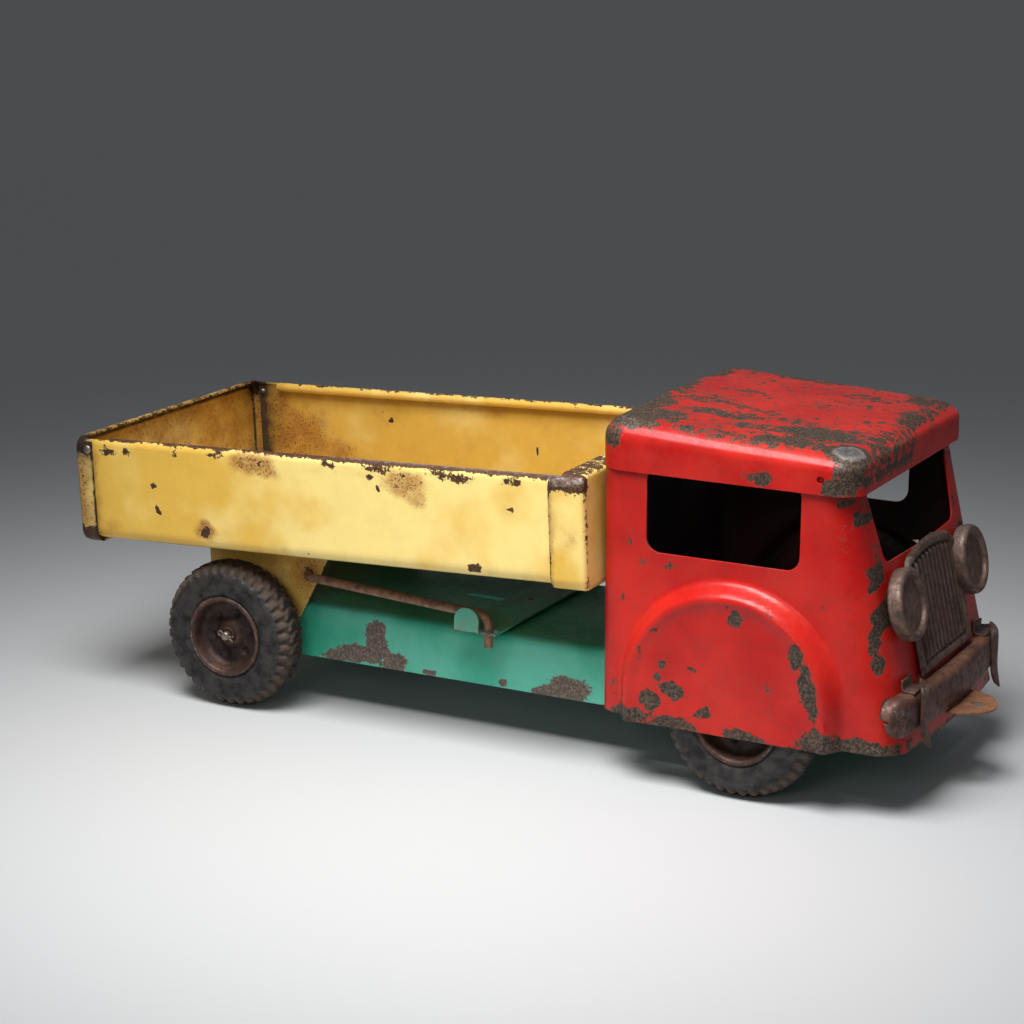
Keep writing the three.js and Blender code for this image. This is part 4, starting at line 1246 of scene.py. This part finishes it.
def build_bumper():
    section = Line(softened([(-9.5, BUMPER_TOP - 1.2), (-0.5, BUMPER_TOP), (0, BUMPER_BOTTOM),
                             (-6, BUMPER_BOTTOM + 0.5)], 8.0, 8))
    middle, nose = (BUMPER_TOP + BUMPER_BOTTOM) / 2, 9
    bm = blank(2 * BUMPER_HALF, section.length, 1.3, corner=(-BUMPER_HALF, 0))

    def at(y, s):
        back, z = section.at(s)
        end = clamp((abs(y) - BUMPER_HALF + nose) / nose)
        shrink = sqrt(max(0.004, 1 - 0.99 * end * end))
        z = middle + (z - middle) * shrink
        x = bumper_face(y) + back * (0.35 + 0.65 * shrink) - 5.0 * (1 - shrink)
        x += dent(x, y, z, 14, 0.35, 4.0)
        return min(x, BUMPER_FRONT), y, z + dent(x, y, z, 18, 0.3, 6.0)

    # A rubbed band along the face, and bright metal on the near end's nose that is partly wear and
    # partly its painted highlight.
    def wear(x, y, z):
        return 0.16 * swelling(z - 53, 3) + 0.42 * fading(hypot(y + 68, z - 52), 6)

    def bloom(x, y, z):
        return 0.24 * ease(53.5, 57, z) * ease(-64, -56, y) * ease(64, 56, y)

    press(bm, at)
    piece("bumper_bar", bm, [bumper_steel], "chassis", ["bumper"], "rusted_steel", sheet=SHEET,
          inside=(340, 0, 49), wear=wear, bloom=bloom)
    for hand, side in HANDS:
        build_horn(hand, side)
        build_strap(hand, side)


def build_horn(hand, side):
    """One of the two upright horns on the bumper."""
    face = bumper_face(44.5) + 0.35
    run = Line(softened([(face - 3.4, 64.2), (face - 0.6, 60.6), (face, 58), (face, 42),
                         (face + 0.8, 37), (face + 2.5, 31.9)], 4, 5))
    tip = 3.5

    def shape(u, s):
        x, z = run.at(s)
        share = (u - HORN_HALF) / HORN_HALF
        taper = 0.78 - 0.3 * ease(run.length - 9, run.length, s) - 0.28 * ease(8, 0, s)
        for end in (s, run.length - s):
            if end < tip:
                taper *= sqrt(max(0.04, 1 - ((tip - end) / tip) ** 2))
        return x + 1.2 - 0.7 * share ** 2, side * HORN_Y + share * HORN_HALF * taper, z

    strap = blank(2 * HORN_HALF, run.length, 0.9)
    press(strap, shape)
    piece(f"bumper_horn_{hand}", strap, [bumper_steel], "chassis", [f"overrider_{hand}"],
          "rusted_steel", sheet=1.1, inside=(340, side * HORN_Y, 48),
          wear=lambda x, y, z: 0.35 * swelling(z - 60, 3) + 0.2, bloom=lambda x, y, z: 0.1)


def build_strap(hand, side):
    """One of the two bent straps that hold the bumper to the cab."""
    back = cab_front(BUMPER_TOP) - BOW / 2 + 0.35
    bend = Line(softened([(back, 63.0), (back, 58.2), (back + 6, 58.2)], 1.5, 4))
    half = 6

    def shape(u, s):
        x, z = bend.at(s)
        return x + 0.2, side * HORN_Y + u - half, z + 0.5 + dent(u, s, 0, 3, 0.3)

    strap = blank(2 * half, bend.length, 0.9)
    press(strap, shape)
    piece(f"bumper_strap_{hand}", strap, [brown_steel], "chassis", [f"bumper_bracket_{hand}"],
          "rusted_steel", sheet=0.8, inside=(back + 20, side * HORN_Y, 75), flip=True)


def build_tab():
    cell = 0.9
    bm = blank(TAB_TIP - TAB_ROOT, 2 * TAB_HALF, cell, corner=(TAB_ROOT, -TAB_HALF))
    reach = TAB_TIP - TAB_ROOT - 0.2

    def edge(x, y):
        away = hypot((x - TAB_ROOT) / reach, y / TAB_HALF)
        return min((1 - away) * TAB_HALF * (0.98 if away else 1.0), x - TAB_ROOT + 0.01)

    def hole(x, y):
        return hypot(x - TAB_HOLE_X, y) - TAB_HOLE

    def sag(x, y):
        return x, y, 38.9 - 0.9 * ease(TAB_ROOT + 10, TAB_TIP, x) + dent(x, y, 0, 9, 0.5)

    cut(bm, edge, cell)
    cut(bm, hole, cell)
    press(bm, sag)
    lip = blank(24, 9.5, 1.0)
    press(lip, lambda u, v: (TAB_ROOT + 0.9 - 0.9 * ease(0, 3, v), u - 12, 38.7 + v))
    bm = joined(bm, lip)
    welded(bm, 0.2)
    piece("tow_tab", bm, [orange_steel], "chassis", ["pull_tab"], "rusted_steel", sheet=0.9,
          inside=(372, 0, 20), wear=lambda x, y, z: 0.3 * fading(hole(x, y), 1.2))


# ---- Wheels ----
LUGS, LUG_CELLS = 38, 10


def build_tyre(name, node, body, centre, seed):
    half = 11.0
    run = [(19.6, half - 1.6), (21.3, half - 1.4), (22.0, half - 0.3), (25, half), (28.0, half),
           (29.0, half - 0.7), (30.0, half), (32.0, half - 0.55), (34.4, half - 1.7),
           (36.6, half - 4.4), (37.7, half - 7.2), (38, half - 9.6)]
    line = Line(softened(run + [(r, -d) for r, d in reversed(run)], 1.0, 3))
    around = LUGS * LUG_CELLS
    bm = blank(around, line.length, 1, 1.05)

    def at(u, s):
        r, d = line.at(s)
        turn = 2 * pi * u / around
        fold = abs((abs(d) - 1.0) / 3.4 % 2 - 1)
        phase = u / LUG_CELLS + 0.42 * fold + 0.02 * abs(d) + seed
        saw = phase - floor(phase)
        shoulder = ease(31.2 + 2.6 * saw, 33.2 + 2.6 * saw, r) if abs(d) > 5 else 1.0
        gap = abs(saw - 0.5) - 0.14 + 0.05 * ease(9, 3, abs(d))
        groove = (1 - ease(0.04, 0.15, gap)) * shoulder * ease(30.8, 33.5, r)
        ring = swelling(abs(d) - 5.2 - 0.5 * sin(2 * pi * phase), 0.55) if r > 36 else 0.0
        out = line.across(s) * 1.5 * max(groove, 0.75 * ring)
        return (r + out.x) * sin(turn), d + out.y, (r + out.x) * cos(turn)

    def grime(x, y, z):
        r = hypot(x, z)
        return 0.8 * ease(31, 36, r) * (1 - 0.75 * ease(36.9, 37.7, r)) + 0.1

    press(bm, at)
    bmesh.ops.bridge_loops(bm, edges=[e for e in bm.edges if e.is_boundary])
    faced(bm)
    mark(bm, "grime", grime)
    moved(bm, *centre)
    piece(name, bm, [tyre_rubber], body, [node], "rubber", edge=0)


def build_hub(name, node, body, centre, out, boss):
    profile = Line(softened([
        (2.7, boss), (3.6, boss), (6.0, boss - 0.9), (8.2, 3.3), (9.2, 3.1), (15.2, 3.4),
        (17.0, 5.2), (18.2, 9.6), (18.7, 10.7), (19.7, 11.1), (20.8, 10.8), (21.1, 10.0)], 0.9, 3))
    steps, dimples, dimple_radius = 96, 6, 11.4
    bm = blank(steps, profile.length, 1, 0.7)

    def at(u, s):
        r, d = profile.at(s)
        turn = 2 * pi * u / steps
        for k in range(dimples):
            a = 2 * pi * k / dimples + 0.3
            away = hypot(r * sin(turn) - dimple_radius * sin(a),
                         r * cos(turn) - dimple_radius * cos(a))
            d -= 1.5 * exp(-(away / 1.9) ** 4)
        return r * sin(turn), d * out, r * cos(turn)

    def wear(x, y, z):
        r = hypot(x, z)
        return 0.55 * swelling(r - 19.9, 0.8) + 0.3 * swelling(r - 5.0, 1.4)

    # Painted shade in the dish of the hub.
    def grime(x, y, z):
        r = hypot(x, z)
        return 0.62 * ease(6.5, 9, r) * ease(18.5, 14, r)

    press(bm, at)
    mark(bm, "wear", wear)
    mark(bm, "grime", grime)
    moved(bm, *centre)
    piece(name, bm, [hub_steel], body, [node], "rusted_steel", sheet=0.9, edge=0.15,
          inside=centre - Vector((0, out * 90, 0)))


def build_split_pin(name, node, centre, turn):
    legs = [(-4.4, -1.5), (-3.0, -0.55), (2.6, -0.5), (3.4, -1.0), (4.2, -1.1), (4.9, -0.6),
            (5.1, 0), (4.9, 0.6), (4.2, 1.1), (3.4, 1.0), (2.6, 0.5), (-2.8, 0.55), (-4.0, 1.7)]
    bm = wire(Line(softened([(w, 0, l - 0.4) for l, w in legs], 0.8, 3)), 60, 0.62, 8)
    turned(bm, radians(turn), "Y")
    moved(bm, *centre)
    piece(name, bm, [pin_steel], "chassis", [node], "bare_steel", edge=0)


def build_running_gear():
    chamfer = 0.7
    bar = softened([(0, -AXLE_HALF), (1.7, -AXLE_HALF), (AXLE_RADIUS, chamfer - AXLE_HALF),
                    (AXLE_RADIUS, AXLE_HALF - chamfer), (1.7, AXLE_HALF), (0, AXLE_HALF)], 0.3, 2)
    ends = (("rear", 0.0, 0.0, 53.7), ("front", FRONT_AXLE_X, 0.4, 50.9))
    for end, x, seed, spacer_start in ends:
        axle = (x, 0, AXLE_Z)
        piece(f"{end}_axle_bar", spun(bar, axle, steps=24), [pin_steel], "chassis",
              [f"{end}_axle"], "bare_steel", edge=0)
        for hand, side in HANDS:
            place = f"{end}_{hand}"
            body = f"{place}_wheel"
            centre = Vector((x, side * WHEEL_Y, AXLE_Z))
            build_tyre(f"{place}_tyre_ring", f"{place}_tyre", body, centre, seed + 0.3 * side)
            build_hub(f"{place}_rim_outer", f"{place}_hub_outer", body, centre, side, 6.4)
            build_hub(f"{place}_rim_inner", f"{place}_hub_inner", body, centre, -side, 10.4)
            for part, y0, y1, radius in (("spacer", spacer_start, 56.2, 5.0),
                                         ("washer", 73.6, 74.7, 4.6)):
                ring = softened([(2.6, y0), (radius, y0), (radius, y1), (2.6, y1)], 0.3, 2,
                                closed=True)
                bm = spun([(p.x, p.y * side) for p in ring], axle, steps=28, closed=True)
                piece(f"{place}_{part}_ring", bm, [hub_steel], "chassis", [f"{place}_{part}"],
                      "bare_steel", edge=0)
            build_split_pin(f"{place}_cotter", f"{place}_split_pin",
                            (x, side * SPLIT_PIN_Y, AXLE_Z), 25 * side - 48)


def build_rivets():
    def rivet(name, node, body, spot, axis, out, radius=2.6, height=1.3, shank=4.0, tilted=False):
        dome = [(0, height), (radius * 0.45, height * 0.93), (radius * 0.8, height * 0.6),
                (radius, 0.15), (radius, 0), (1.3, 0), (1.3, -shank), (0, -shank)]
        bm = spun([(r, d * out) for r, d in dome], spot, axis, 24)
        piece(name, bm, [pin_steel], body, [node], "bare_steel", tilted=tilted, edge=0)

    for hand, side in HANDS:
        rivet(f"cab_foot_rivet_{hand}", f"cab_rivet_{hand}", "chassis",
              (217, side * 34, CHASSIS_TOP + 1.6), "Z", 1)
        x, y, z = TAILGATE_PIN
        rivet(f"tailgate_pin_{hand}", f"tailgate_pivot_{hand}", "bed", (x, side * y, z), "Y", side,
              radius=2.4, height=1.1, tilted=True)
        for end, x in (("rear", -14), ("front", 44)):
            rivet(f"bed_rivet_{end}_{hand}", f"hanger_rivet_{end}_{hand}", "bed",
                  (x, side * 58, BED_BOTTOM - 1.6), "Z", -1, shank=2.5, tilted=True)


def finish_guide():
    """The stud and washer under the cross plate keep their shape and take the pin's finish."""
    for node in ("guide_stud", "guide_washer"):
        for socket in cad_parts[node].material_slots:
            socket.link = "OBJECT"
            socket.material = pin_steel


for build in (build_cab, build_roof, build_tray, build_pans, build_hangers, build_chassis,
              build_crosshead, build_rods, build_grille, build_lamps, build_bumper, build_tab,
              build_running_gear, build_rivets, finish_guide):
    build()


# ---- Floor, light and camera ----
def build_floor():
    bm = bmesh.new()
    bmesh.ops.create_grid(bm, x_segments=2, y_segments=2, size=14)
    mesh = bpy.data.meshes.new("studio_floor")
    bm.to_mesh(mesh)
    bm.free()
    floor_sheet = linked("studio_floor", mesh)
    paper = bpy.data.materials.new("floor_paper")
    paper.use_nodes = True
    shader = paper.node_tree.nodes["Principled BSDF"]
    shader.inputs["Base Color"].default_value = rgb(0.46, 0.465, 0.47)
    shader.inputs["Roughness"].default_value = 0.55
    mesh.materials.append(paper)


def area_light(name, place, target, size, power, spread):
    data = bpy.data.lights.new(name, "AREA")
    data.shape = "RECTANGLE"
    data.spread = radians(spread)
    data.size, data.size_y = size
    data.energy = power
    lamp = linked(name, data)
    lamp.location = place
    lamp.rotation_euler = (Vector(target) - Vector(place)).to_track_quat("-Z", "Y").to_euler()


def build_camera():
    yaw, pitch, roll = radians(27.352), radians(14.986), radians(0.234)
    ahead = Vector((-sin(yaw) * cos(pitch), cos(yaw) * cos(pitch), -sin(pitch)))
    right = Vector((cos(yaw), sin(yaw), 0))
    up = right.cross(ahead)
    right, up = right * cos(roll) + up * sin(roll), up * cos(roll) - right * sin(roll)
    data = bpy.data.cameras.new("camera")
    data.sensor_width = 36
    data.lens = 93.57
    data.shift_x, data.shift_y = -0.0348, 0.0145
    camera = linked("camera", data)
    facing = Matrix((right, up, -ahead)).transposed().to_4x4()
    camera.matrix_world = Matrix.Translation((0.59138, -1.14987, 0.44262)) @ facing
    bpy.context.scene.camera = camera


def build_world():
    world = bpy.data.worlds.new("studio")
    world.use_nodes = True
    background = world.node_tree.nodes["Background"]
    background.inputs["Color"].default_value = rgb(0.92, 0.95, 1.0)
    background.inputs["Strength"].default_value = 0.14
    bpy.context.scene.world = world
    bpy.context.scene.view_settings.view_transform = "Standard"


build_floor()
area_light("overhead_softbox", (0.04, -0.36, 0.82), (0.05, -0.13, 0), (0.55, 0.42), 3.0, 74)
area_light("front_softbox", (0.2, -1.2, 0.55), (0.0, 0, 0.08), (0.5, 0.3), 0.4, 90)
build_world()
build_camera()
